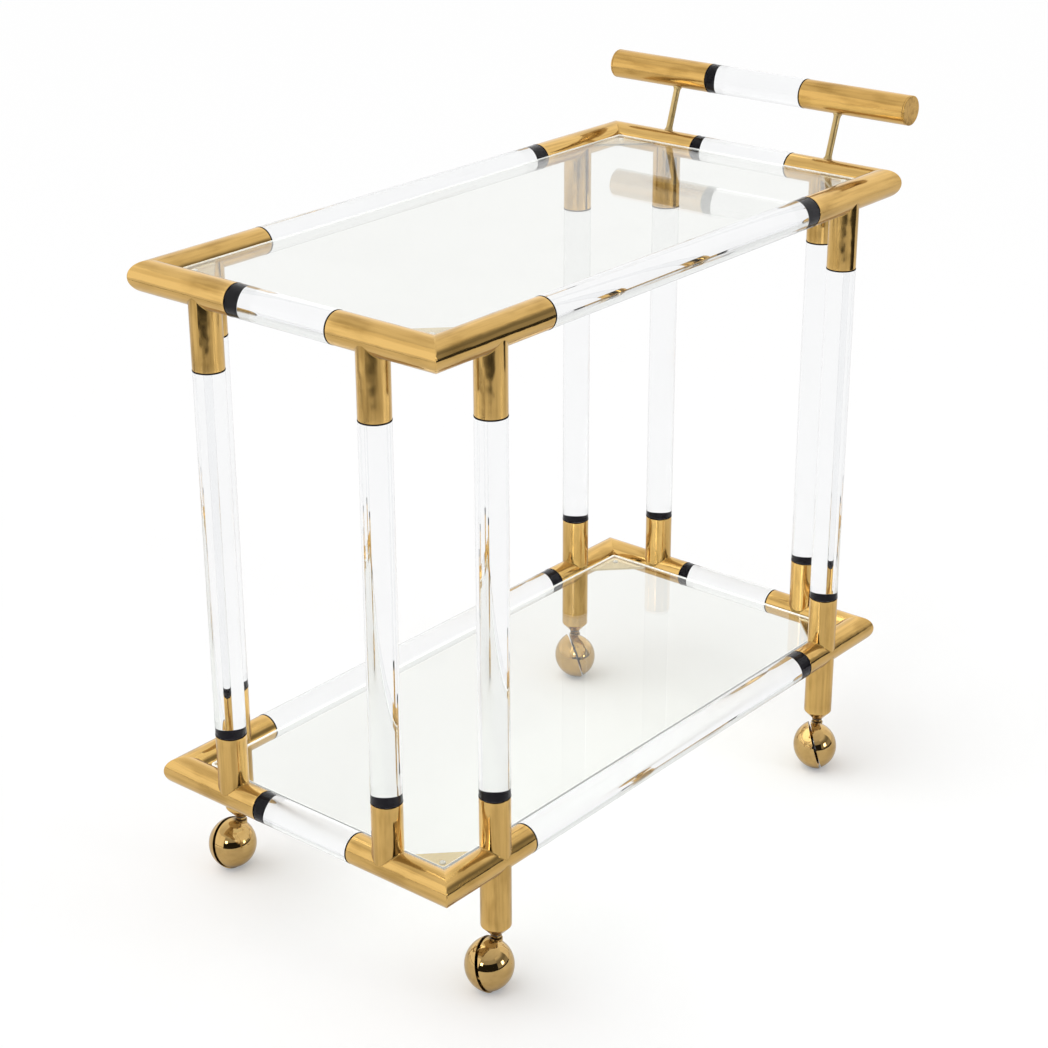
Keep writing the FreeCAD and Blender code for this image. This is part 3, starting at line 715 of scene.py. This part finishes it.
def add_branch(skin, foot_point, along, across, heading, radius, profile):
    """A tube of that radius that stands on the arm at foot_point and points along heading."""
    angle = np.concatenate((half_turn, math.pi - half_turn[::-1][1:-1]))
    out = around(angle, along, across)
    saddle = np.sqrt(tube_r ** 2 - (radius * np.sin(angle)) ** 2)
    seam = foot_point + out * radius + np.outer(saddle, heading)
    on_arm = seam + np.outer(BRAZE * np.cos(angle), along)
    on_wall = seam + np.outer(BRAZE * np.abs(np.cos(angle)), heading)
    arm_facing = (np.outer(radius * np.sin(angle), across) + np.outer(saddle, heading)) / tube_r
    rows = [bend(on_arm, seam, on_wall, t) for t in FILLET_STEPS]
    facings = [unit(arm_facing * (1 - t) + out * t) for t in FILLET_STEPS]
    axes = (heading, along, across)
    skin.grid(rows, facings, axes, FILLET_WEAR)
    start = saddle + BRAZE * np.abs(np.cos(angle))
    reach = profile[0][0][1] - start
    rows = [foot_point + out * radius + np.outer(start + reach * f, heading) for f in WALL_STEPS]
    skin.grid(rows, out, axes, WALL_WEAR)
    skin.grid(*spin(foot_point, heading, out, profile), axes, end_wear(profile))


def open_end(radius, end):
    """The profile of a tube's open end: rounded rim, wall and a short blind bore."""
    bore, bottom = radius - WALL, end - BORE_DEPTH
    return soften([(radius, end - RIM), (radius, end), (bore, end), (bore, bottom), (0, bottom)], RIM_EDGE)


print("points along an open end:", len(open_end(tube_r, BORE_DEPTH)[0]))

# %% [markdown]
# The arms themselves run from the mitre to the stub, and on to the open end. A level ring of points at the
# mitre is bent from one arm's outside to the other's, so that the sharp corner of the cut becomes a fine
# ridge of light. Beside each seam lies one very narrow row: the grain turns there, and only there, from one
# tube's direction to the other's.

# %% Build a corner
MITRE_EDGE = 0.9 * MM
INNER_STEPS = np.array((0, 0.01, 0.25, 0.5, 0.75, 0.99, 1.0))
INNER_WEAR = [0.15, 0.15, 0, 0, 0, -0.05, -0.05]
OUTER_STEPS = np.array((0, 0.01, 0.2, 0.45, 0.7, 0.86, 0.95, 1.0))
OUTER_WEAR = [-0.05, -0.05, 0, 0, 0, 0, 0.05, 0.15]
RIDGE_WEAR = [0.15, 0.3, 0.4, 0.4, 0.3, 0.15]
LEG_R = 17.0 * MM
LEG_TIP = 6.5 * MM
LEG_TAPER = 11.5 * MM
LEG_EDGE = 1.0 * MM
LEG_RIM = 4 * MM
SLEEVE_R = 5.55 * MM
SLEEVE_DEPTH = 5 * MM


def leg_end(drop):
    """The profile of the caster leg's tapered foot."""
    shoulder, bottom = drop - LEG_TAPER, drop - SLEEVE_DEPTH
    return soften([(LEG_R, shoulder - LEG_RIM), (LEG_R, shoulder), (LEG_TIP, drop), (SLEEVE_R, drop),
                   (SLEEVE_R, bottom), (0, bottom)], LEG_EDGE)


def corner_place(tier, side_x, side_y):
    """Where the centre lines of a corner's two arms cross."""
    end = "front" if side_x < 0 else "rear"
    side = "left" if side_y < 0 else "right"
    return np.array((middle(f"{tier}_{end}_rod")[0], middle(f"{tier}_{side}_rod")[1], tier_z[tier]))


def build_corner(tier, corner):
    """Two mitred arms with their stubs, and a caster leg below the lower ones."""
    name = f"{tier}_corner_{corner}"
    side_x, side_y = CORNERS[corner]
    low, high = box(name)
    centre = corner_place(tier, side_x, side_y)
    inward_x, inward_y = np.array((-side_x, 0.0, 0.0)), np.array((0.0, -side_y, 0.0))
    far = np.where(np.array((side_x, side_y, 0)) < 0, high, low)
    lower = tier == "lower"
    stub_heading = UP if lower else -UP
    stub_reach = high[2] - centre[2] if lower else centre[2] - low[2]
    lengths = np.abs(far - centre)
    side_inset = abs(middle(f"{corner}_side_post")[0] - centre[0])
    end_inset = abs(middle(f"{corner}_end_post")[1] - centre[1])
    arms = [(inward_x, inward_y, lengths[0], side_inset), (inward_y, inward_x, lengths[1], end_inset)]
    angle, into_top, into_low = arm_lines(post_r, LEG_R if lower else post_r)
    skin = Skin()
    for arm, (along, across, length, inset) in enumerate(arms):
        out = around(angle, UP, across)
        wall = centre + tube_r * out
        axes = (along, across, UP)
        has_leg = lower and arm == 0
        clear_of = (post_r + BRAZE) * (into_top if lower else into_low)
        if has_leg:
            clear_of = clear_of + (LEG_R + BRAZE) * into_low
        mitre = tube_r * np.sin(angle) + MITRE_EDGE
        room = inset - clear_of - mitre
        rows = [wall + np.outer(mitre + room * f, along) for f in INNER_STEPS]
        skin.grid(rows, out, axes, INNER_WEAR)
        profile = open_end(tube_r, length)
        start = inset + clear_of
        room = profile[0][0][1] - start
        rows = [wall + np.outer(start + room * f, along) for f in OUTER_STEPS]
        skin.grid(rows, out, axes, OUTER_WEAR)
        skin.grid(*spin(centre, along, out, profile), axes, end_wear(profile))
        foot_point = centre + along * inset
        add_branch(skin, foot_point, along, across, stub_heading, post_r, open_end(post_r, stub_reach))
        if has_leg:
            add_branch(skin, foot_point, along, across, -UP, LEG_R, leg_end(centre[2] - low[2]))
    ridge = centre + tube_r * around(angle, UP, inward_x + inward_y)
    first, second = ridge + inward_x * MITRE_EDGE, ridge + inward_y * MITRE_EDGE
    first_out, second_out = around(angle, UP, inward_y), around(angle, UP, inward_x)
    rows = [bend(first, ridge, second, t) for t in FILLET_STEPS]
    facings = [unit(first_out * (1 - t) + second_out * t) for t in FILLET_STEPS]
    skin.grid(rows, facings, (inward_x, inward_y, UP), RIDGE_WEAR)
    return skin.piece(f"{name}_brass", brass_tube, "brass", name)


made = [build_corner(tier, corner) for tier in TIERS for corner in CORNERS]
print("brass corners:", len(made), "points:", sum(len(piece.data.vertices) for piece in made))

# %% [markdown]
# The shelves. Each is a plate of clear glass with ground edges, laid on four soft pads on triangular brass
# plates. A plate is an outline with rounded corners, and a small profile that is carried round it; the two
# flat faces close it. That keeps the faces truly flat, which matters where a whole room is mirrored in
# them.

# %% Plates from an outline
FLAT_START = 2.5


def rounded_outline(corners, radius, steps=6):
    """Points of a convex outline, anticlockwise, with rounded corners, and their outward directions."""
    corners = [np.array(c, float) for c in corners]
    places, outward = [], []
    for k, corner in enumerate(corners):
        back, ahead = unit(corners[k - 1] - corner), unit(corners[(k + 1) % len(corners)] - corner)
        half = math.acos(np.clip(np.dot(back, ahead), -1, 1)) / 2
        middle_way = unit(back + ahead)
        hub = corner + middle_way * (radius / math.sin(half))
        start = math.atan2(back[0], -back[1])
        turn = math.pi - 2 * half
        for t in np.linspace(0, 1, steps + 1):
            facing = np.array((math.cos(start + turn * t), math.sin(start + turn * t)))
            places.append(hub + facing * radius)
            outward.append(facing)
    return np.array(places), np.array(outward)


def add_plate(skin, corners, radius, low, high, edge, wear):
    """A flat plate between two heights, with rounded corners and softened edges that have their own wear."""
    places, outward = rounded_outline(corners, radius)
    outline = np.column_stack((places, np.zeros(len(places))))
    sideways = np.column_stack((outward, np.zeros(len(places))))
    inset = FLAT_START * edge
    profile, ends = soften([(-inset, low), (0, low), (0, high), (-inset, high)], edge)
    rows = [outline + sideways * r + UP * h for r, h in profile]
    facings = [sideways * side + UP * rise for side, rise in ends]
    verts = skin.grid(rows, facings, np.eye(3), [0] + [wear] * (len(rows) - 2) + [0])
    skin.mesh.faces.new(verts[0])
    skin.mesh.faces.new(verts[-1])


print("flat faces start", FLAT_START, "edge radii in from the rim")

# %% [markdown]
# The ground edge of the glass is matt and has a faint painted glow, so it shows as a pale line inside the
# frame of rods; the points of the edge carry a mark that the glass finish reads. The pads are low turned
# discs, let a hair into the glass: with air between them the glass would mirror at its lower face and the
# pads would look dark.

# %% Glass, corner plates and pads
GLASS_CORNER = 4.0 * MM
GLASS_EDGE = 0.9 * MM
GUSSET_REACH = 72.0 * MM
GUSSET_TIP = 3.0 * MM
GUSSET_CORNER = 1.0 * MM
GUSSET_EDGE = 0.35 * MM
PAD_INSET = 32.0 * MM
PAD_EDGE = 0.4 * MM
PAD_RIM_SHARE, PAD_TOP_SHARE = 0.35, 0.8
FEW_LINES = 48


def mirrored(corners, side_x, side_y):
    """An outline drawn for one corner, turned to another and kept anticlockwise."""
    turned = [(x * -side_x, y * -side_y) for x, y in corners]
    return turned if side_x * side_y > 0 else turned[::-1]


for tier in TIERS:
    glass = f"{tier}_glass_shelf"
    low, high = box(glass)
    skin = Skin()
    shape = [(low[0], low[1]), (high[0], low[1]), (high[0], high[1]), (low[0], high[1])]
    # wear=1.0 marks the ground edge: matt, with a painted glow from the glass finish.
    add_plate(skin, shape, GLASS_CORNER, low[2], high[2], GLASS_EDGE, wear=1.0)
    skin.piece(f"{tier}_shelf_plate", shelf_glass, "shelf_glass", glass)

    plates, pads = Skin(), Skin()
    low, high = box(f"{tier}_gusset_plates")
    pad_low, pad_high = box(f"{tier}_shelf_pads")
    pad_r = (pad_high[0] - middle(f"{tier}_rear_rod")[0]) + PAD_INSET
    tip = tube_r + GUSSET_TIP
    thick = pad_high[2] - pad_low[2] + GLUE
    profile = soften([(0, 0), (pad_r, 0), (pad_r, PAD_RIM_SHARE * thick), (PAD_TOP_SHARE * pad_r, thick),
                      (0, thick)], PAD_EDGE)
    shape = [(tube_r, tube_r), (GUSSET_REACH, tube_r), (GUSSET_REACH, tip), (tip, GUSSET_REACH),
             (tube_r, GUSSET_REACH)]
    for side_x, side_y in CORNERS.values():
        corner_at = corner_place(tier, side_x, side_y)[:2]
        outline = [corner_at + c for c in mirrored(shape, side_x, side_y)]
        add_plate(plates, outline, GUSSET_CORNER, low[2], high[2], GUSSET_EDGE, wear=0.2)
        pad_at = corner_at - np.array((side_x, side_y)) * PAD_INSET
        lathe(pads, np.array((*pad_at, pad_low[2])), UP, profile, lines=FEW_LINES)
    plates.piece(f"{tier}_corner_plates", brass_plate, "brass", f"{tier}_gusset_plates")
    pads.piece(f"{tier}_gel_pads", pad_gel, "clear_pad", f"{tier}_shelf_pads")
print("shelves: 2, with corner plates and pads; pad radius", round(pad_r / MM, 2))

# %% [markdown]
# The push handle. Two brass tubes with flat caps hold a clear rod between them. The tubes are open at both
# ends, so their profile is a closed loop that goes along the outside and back through the bore. A cap is a
# disc with a short plug, and its edge is rounded more than the others, because that is where hands rub it.

# %% Handle tubes and caps
CAP = 2.5 * MM
CAP_PLUG = 8.0 * MM
CAP_EDGE = 0.9 * MM
TUBE_EDGE = 0.6 * MM
HANDLE_WEAR = 0.1
ACROSS = DIRECTIONS[1]
bar = middle("handle_rod")
bar_line = bar * (1 - ACROSS)
bore = tube_r - WALL
for side_name in ("left", "right"):
    name = f"handle_tube_{side_name}"
    low, high = (corner[1] for corner in box(name))
    profile = soften([(bore, low), (tube_r, low), (tube_r, high), (bore, high)], TUBE_EDGE, loop=True)
    skin = Skin()
    lathe(skin, middle(name) * (1 - ACROSS), ACROSS, profile, wears=HANDLE_WEAR, loop=True)
    skin.piece(f"{name}_brass", brass_handle, "brass", name)

cap_low, cap_high = box("handle_end_caps")
cap_fit = bore - CLEARANCE
profile = soften([(0, -CAP_PLUG), (cap_fit, -CAP_PLUG), (cap_fit, 0), (tube_r, 0), (tube_r, CAP), (0, CAP)],
                 CAP_EDGE)
skin = Skin()
for side, face in ((-1, cap_low[1]), (1, cap_high[1])):
    lathe(skin, bar_line + ACROSS * (face - side * CAP), ACROSS * side, profile)
skin.piece("handle_caps_brass", brass_handle, "brass", "handle_end_caps")
print("handle: 2 tubes, 2 caps")

# %% [markdown]
# Two slim leaning stems carry the handle. They are brazed into the upper corners and into the handle's
# tubes, and where a stem meets a tube it spreads into a little collar of braze. Both ends are alike, so
# half of the profile is drawn and then mirrored.

# %% Handle stems
STEM_R = 4.0 * MM
STEM_POKE = 1.0 * MM
STEM_EDGE = 1.0 * MM
COLLAR_LIFT = 0.6 * MM
COLLAR_FOOT, COLLAR_RIM, COLLAR_NECK = STEM_R + 1.8 * MM, STEM_R + 1.5 * MM, STEM_R + 0.5 * MM
NECK_LIFT, STEM_LIFT = 1.2 * MM, 4 * MM
stem_start, collar = bore - STEM_POKE, tube_r + COLLAR_LIFT
half_stem = [(0, stem_start), (COLLAR_FOOT, stem_start), (COLLAR_RIM, collar),
             (COLLAR_NECK, collar + NECK_LIFT), (STEM_R, collar + STEM_LIFT)]
for side_name in ("left", "right"):
    name = f"handle_stem_{side_name}"
    foot = np.array((middle("upper_rear_rod")[0], middle(name)[1], tier_z["upper"]))
    head = np.array((bar[0], foot[1], bar[2]))
    length = np.linalg.norm(head - foot)
    profile = soften(half_stem + [(r, length - h) for r, h in half_stem[::-1]], STEM_EDGE)
    skin = Skin()
    lathe(skin, foot, head - foot, profile, lines=FEW_LINES)
    skin.piece(f"{name}_brass", brass_stem, "brass", name)
print("stems: 2, length", round(length / MM, 1), "mm")

# %% [markdown]
# The ball casters stay as they came: their domes, rims and gaps are already smooth and exact. They only get
# their finish: polished brass on the balls and stems, steel on the axles and sleeves, dull nylon on the
# washers.

# %% Dress the casters
def dress(name, material):
    """Gives its finish to a solid that stays as it is."""
    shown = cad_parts[name]
    shown.data.materials.clear()
    shown.data.materials.append(material)


for corner in CORNERS:
    for part in ("stem", "hood", "wheel"):
        dress(f"caster_{corner}_{part}", brass_ball)
    dress(f"caster_{corner}_axle", steel)
dress("caster_sleeves", steel)
dress("caster_washers", nylon)
print("casters dressed:", len(CORNERS))

# %% [markdown]
# The studio. The cart stands on a plain white floor in soft light. Polished metal only looks like metal if
# it has something to mirror, so cards stand round the cart as in a product studio. Only mirrored rays see
# them: a dark opening behind the camera, a grey wall on the right, a paler one on the left, and a soft
# ceiling. In the mirror of the brass the floor also has a slight sheen, which draws the lamps out into
# upright streaks.

# %% World and floor
scene = bpy.context.scene
scene.view_settings.view_transform = "Standard"
LEVEL = 0.70
FLOOR_GREY = (0.8, 0.8, 0.8, 1)
FLOOR_LIFT = 0.2
FLOOR_HALF = 14
SHEEN_GREY = (0.45, 0.45, 0.45, 1)
SHEEN_ROUGHNESS = 0.55
SHEEN_SHARE = 0.5


def seen_directly(tree):
    """1 for rays from the camera, a mirror or a clear piece, and 0 for those that only bring light."""
    path = node(tree, "ShaderNodeLightPath")
    either = math_of(tree, "MAXIMUM", path.outputs["Is Camera Ray"], path.outputs["Is Glossy Ray"])
    return math_of(tree, "MAXIMUM", either, path.outputs["Is Transmission Ray"])


def square(half, height):
    """The corners of a level square round the cart, anticlockwise."""
    return [(-half, -half, height), (half, -half, height), (half, half, height), (-half, half, height)]


world = bpy.data.worlds.new("studio_air")
scene.world = world
world.use_nodes = True
air = world.node_tree
air.nodes.clear()
glow = node(air, "ShaderNodeBackground")
wire(air, remap(air, seen_directly(air), 0.0, 1.0, LEVEL, 1.0), glow.inputs["Strength"])
wire(air, glow.outputs[0], node(air, "ShaderNodeOutputWorld").inputs["Surface"])
glow.inputs["Color"].default_value = (1, 1, 1, 1)

floor_paint, tree = empty_material("studio_floor")
matt = node(tree, "ShaderNodeBsdfDiffuse")
matt.inputs["Color"].default_value = FLOOR_GREY
shine = node(tree, "ShaderNodeEmission")
wire(tree, remap(tree, seen_directly(tree), 0.0, 1.0, 0.0, FLOOR_LIFT), shine.inputs["Strength"])
both = node(tree, "ShaderNodeAddShader")
wire(tree, matt.outputs[0], both.inputs[0])
wire(tree, shine.outputs[0], both.inputs[1])
sheen = node(tree, "ShaderNodeBsdfGlossy")
sheen.inputs["Roughness"].default_value = SHEEN_ROUGHNESS
sheen.inputs["Color"].default_value = SHEEN_GREY
waxed = math_of(tree, "MULTIPLY", in_a_mirror(tree), SHEEN_SHARE)
show(tree, mix_shaders(tree, waxed, both, sheen))
floor_data = bpy.data.meshes.new("studio_floor")
floor_data.from_pydata(square(FLOOR_HALF, 0), [], [(0, 1, 2, 3)])
floor_data.materials.append(floor_paint)
floor = bpy.data.objects.new("studio_floor", floor_data)
scene.collection.objects.link(floor)
floor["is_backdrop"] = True
print("world level", LEVEL, "floor", FLOOR_HALF, "m each way")

# %% [markdown]
# One very wide sun from above gives the soft shadow under the cart. Its wide disc would show as a bright
# patch on every ball, so it is hidden from mirrored rays.

# %% Sun
SUN_LEVEL = 1.15
SUN_WIDTH = 70
SUN_TURN = (-28, -26, 0)
sun_data = bpy.data.lights.new("soft_sun", "SUN")
sun_data.energy = SUN_LEVEL
sun_data.angle = math.radians(SUN_WIDTH)
sun = bpy.data.objects.new("soft_sun", sun_data)
sun.rotation_euler = [math.radians(angle) for angle in SUN_TURN]
sun.visible_glossy = False
scene.collection.objects.link(sun)
print("sun", SUN_LEVEL)

# %% [markdown]
# A card could be lit by lamps of its own, but then it would light the cart as well. Here each card glows by
# itself, in a grey that runs from one value to another along it, and only mirrored rays can see it.

# %% Card paint
def card_paint(name, shades, along):
    """A grey that changes along a direction of the card's own box, from 0 to 1."""
    made, tree = empty_material(name)
    ramp = node(tree, "ShaderNodeValToRGB")
    stops = ramp.color_ramp.elements
    for stop, (place, shade) in zip(list(stops), shades):
        stop.position = place
        stop.color = (shade, shade, shade, 1)
    for place, shade in shades[2:]:
        stops.new(place).color = (shade, shade, shade, 1)
    measured = node(tree, "ShaderNodeVectorMath", operation="DOT_PRODUCT")
    measured.inputs[1].default_value = along
    wire(tree, node(tree, "ShaderNodeTexCoord").outputs["Generated"], measured.inputs[0])
    wire(tree, measured.outputs["Value"], ramp.inputs[0])
    lamp = node(tree, "ShaderNodeEmission")
    wire(tree, ramp.outputs[0], lamp.inputs["Color"])
    show(tree, lamp)
    return made


def hang_card(name, points, faces, shades, along=(0, 0, 1)):
    """Hangs a card that only mirrored rays see, so that it gives no light and no shadow."""
    data = bpy.data.meshes.new(name)
    data.from_pydata(points, [], faces)
    data.materials.append(card_paint(name, shades, along))
    card = bpy.data.objects.new(name, data)
    scene.collection.objects.link(card)
    card.visible_camera = False
    card.visible_diffuse = False
    card.visible_transmission = False
    card.visible_volume_scatter = False
    card.visible_shadow = False
    card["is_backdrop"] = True


# %% [markdown]
# The walls. Each is part of an upright cylinder round the cart. Round tubes mirror almost the whole room,
# squeezed into a few lines, so what counts is at which bearing a card starts and ends and how its grey
# changes with height. One low dark strip on the left stands nearer than the walls.

# %% Wall cards
ARC_POINTS = 25
STRIP = [(k, k + 1, k + 1 + ARC_POINTS, k + ARC_POINTS) for k in range(ARC_POINTS - 1)]
LEFT_END, LEFT, RIGHT, FAR_RIGHT, RIGHT_END = 112, 186, 262, 323, 352
DARK_TOP, WALL_TOP = 1.85, 4.8
WALL_R = 3.6
LINE_LOW, LINE_HIGH, LINE_R = 0.125, 0.170, 1.75


def arc(start, stop, radius, height):
    """Points along an arc between two bearings in degrees; the radius may change along it."""
    bearings = np.radians(np.linspace(start, stop, ARC_POINTS))
    radii = np.broadcast_to(radius, ARC_POINTS)
    return [(r * math.cos(b), r * math.sin(b), height) for r, b in zip(radii, bearings)]


def wall_card(name, start, stop, low, high, shades, radius=WALL_R):
    """A card between two bearings and two heights, shaded from its foot to its top."""
    hang_card(name, arc(start, stop, radius, low) + arc(start, stop, radius, high), STRIP, shades)


wall_card("card_camera_side", LEFT, RIGHT, 0.0, DARK_TOP, [(0.0, 0.02), (1.0, 0.015)])
wall_card("card_camera_high", LEFT, RIGHT, DARK_TOP, WALL_TOP, [(0.0, 0.36), (1.0, 0.48)])
wall_card("card_right", RIGHT, FAR_RIGHT, 0.0, WALL_TOP,
          [(0.0, 0.02), (0.05, 0.03), (0.07, 0.32), (0.25, 0.30), (0.32, 0.19), (0.46, 0.24), (0.62, 0.62),
           (1.0, 0.95)])
wall_card("card_right_far", FAR_RIGHT, RIGHT_END, 0.0, WALL_TOP, [(0.0, 0.62), (0.15, 0.85), (1.0, 0.95)])
wall_card("card_left", LEFT_END, LEFT, 0.0, WALL_TOP, [(0.0, 0.98), (1.0, 1.0)])
wall_card("card_left_line", LEFT_END, LEFT, LINE_LOW, LINE_HIGH, [(0.0, 0.20), (1.0, 0.22)], radius=LINE_R)
print("wall cards: 6")

# %% [markdown]
# The white floor ends a little behind the camera: past that a dark sheet lies on it, which the tubes mirror
# as a dark band just below the horizon. Its inner edge follows bearings round the cart. A soft ceiling
# shades from grey to white for the tops of the tubes.

# %% Floor sheet and ceiling
SHEET_START, SHEET_HEIGHT, SHEET_R = 170, 0.004, 3.55
CEILING_HALF, CEILING_HEIGHT = 3.2, 3.3
# How far the white floor reaches, at bearings round the cart.
REACH = {170: 2.52, 195: 2.36, 220: 2.25, 240: 2.38, 262: 2.9, 285: 2.65, 300: 2.2, 312: 1.85}
bearings = np.linspace(SHEET_START, FAR_RIGHT, ARC_POINTS)
edge = np.interp(bearings, list(REACH), list(REACH.values()))
sheet = arc(SHEET_START, FAR_RIGHT, edge, SHEET_HEIGHT) + arc(SHEET_START, FAR_RIGHT, SHEET_R, SHEET_HEIGHT)
hang_card("card_floor_end", sheet, STRIP, [(0.0, 0.03), (1.0, 0.03)])
hang_card("card_ceiling", square(CEILING_HALF, CEILING_HEIGHT)[::-1], [(0, 1, 2, 3)],
          [(0.0, 0.42), (0.45, 0.70), (1.0, 1.0)], along=(0.5, 0.5, 0.0))
print("floor sheet and ceiling: 2")

# %% [markdown]
# Two small soft boxes beside the camera put the bright spots on the balls and the short bright lines on the
# tubes.

# %% Soft boxes
BOX_AIM = Vector((0, 0, 0.3))


def soft_box(name, place, size, power):
    """A square lamp that is turned towards the lower tier."""
    data = bpy.data.lights.new(name, "AREA")
    data.shape = "SQUARE"
    data.size = size
    data.energy = power
    lamp = bpy.data.objects.new(name, data)
    lamp.location = place
    lamp.rotation_euler = (BOX_AIM - lamp.location).to_track_quat("-Z", "Y").to_euler()
    scene.collection.objects.link(lamp)


soft_box("soft_box_left", (-3.02, -0.87, 1.59), size=0.6, power=6)
soft_box("soft_box_right", (0.58, -2.24, 0.66), size=0.5, power=4)
print("soft boxes: 2")

# %% [markdown]
# The camera stands where it did for the photo: a little above the upper shelf, off the front left corner,
# with a long lens. The place was found by fitting the corners of the frame to where they are in the
# picture.

# %% Camera
EYE = Vector((-1.90193, -1.53838, 1.42398))
AIM = Vector((-0.30179, -0.21410, 0.53340))
ROLL = -0.0037
LENS = 78.35
SENSOR = 36
camera_data = bpy.data.cameras.new("camera")
camera_data.lens = LENS
camera_data.sensor_width = SENSOR
camera = bpy.data.objects.new("camera", camera_data)
ahead = (AIM - EYE).normalized()
right = ahead.cross(Vector(UP)).normalized()
upward = right.cross(ahead)
tilted_right = right * math.cos(ROLL) + upward * math.sin(ROLL)
tilted_up = upward * math.cos(ROLL) - right * math.sin(ROLL)
turn = Matrix((tilted_right, tilted_up, -ahead)).transposed().to_4x4()
camera.matrix_world = Matrix.Translation(EYE) @ turn
scene.collection.objects.link(camera)
scene.camera = camera
print("camera: lens", LENS, "from", [round(v, 3) for v in EYE])

# %% [markdown]
# Last, the dressed cart's box is printed.

# %% Print the dressed cart's box
low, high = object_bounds()
print("visual box:", [round(v, 4) for v in (*low, *high)])
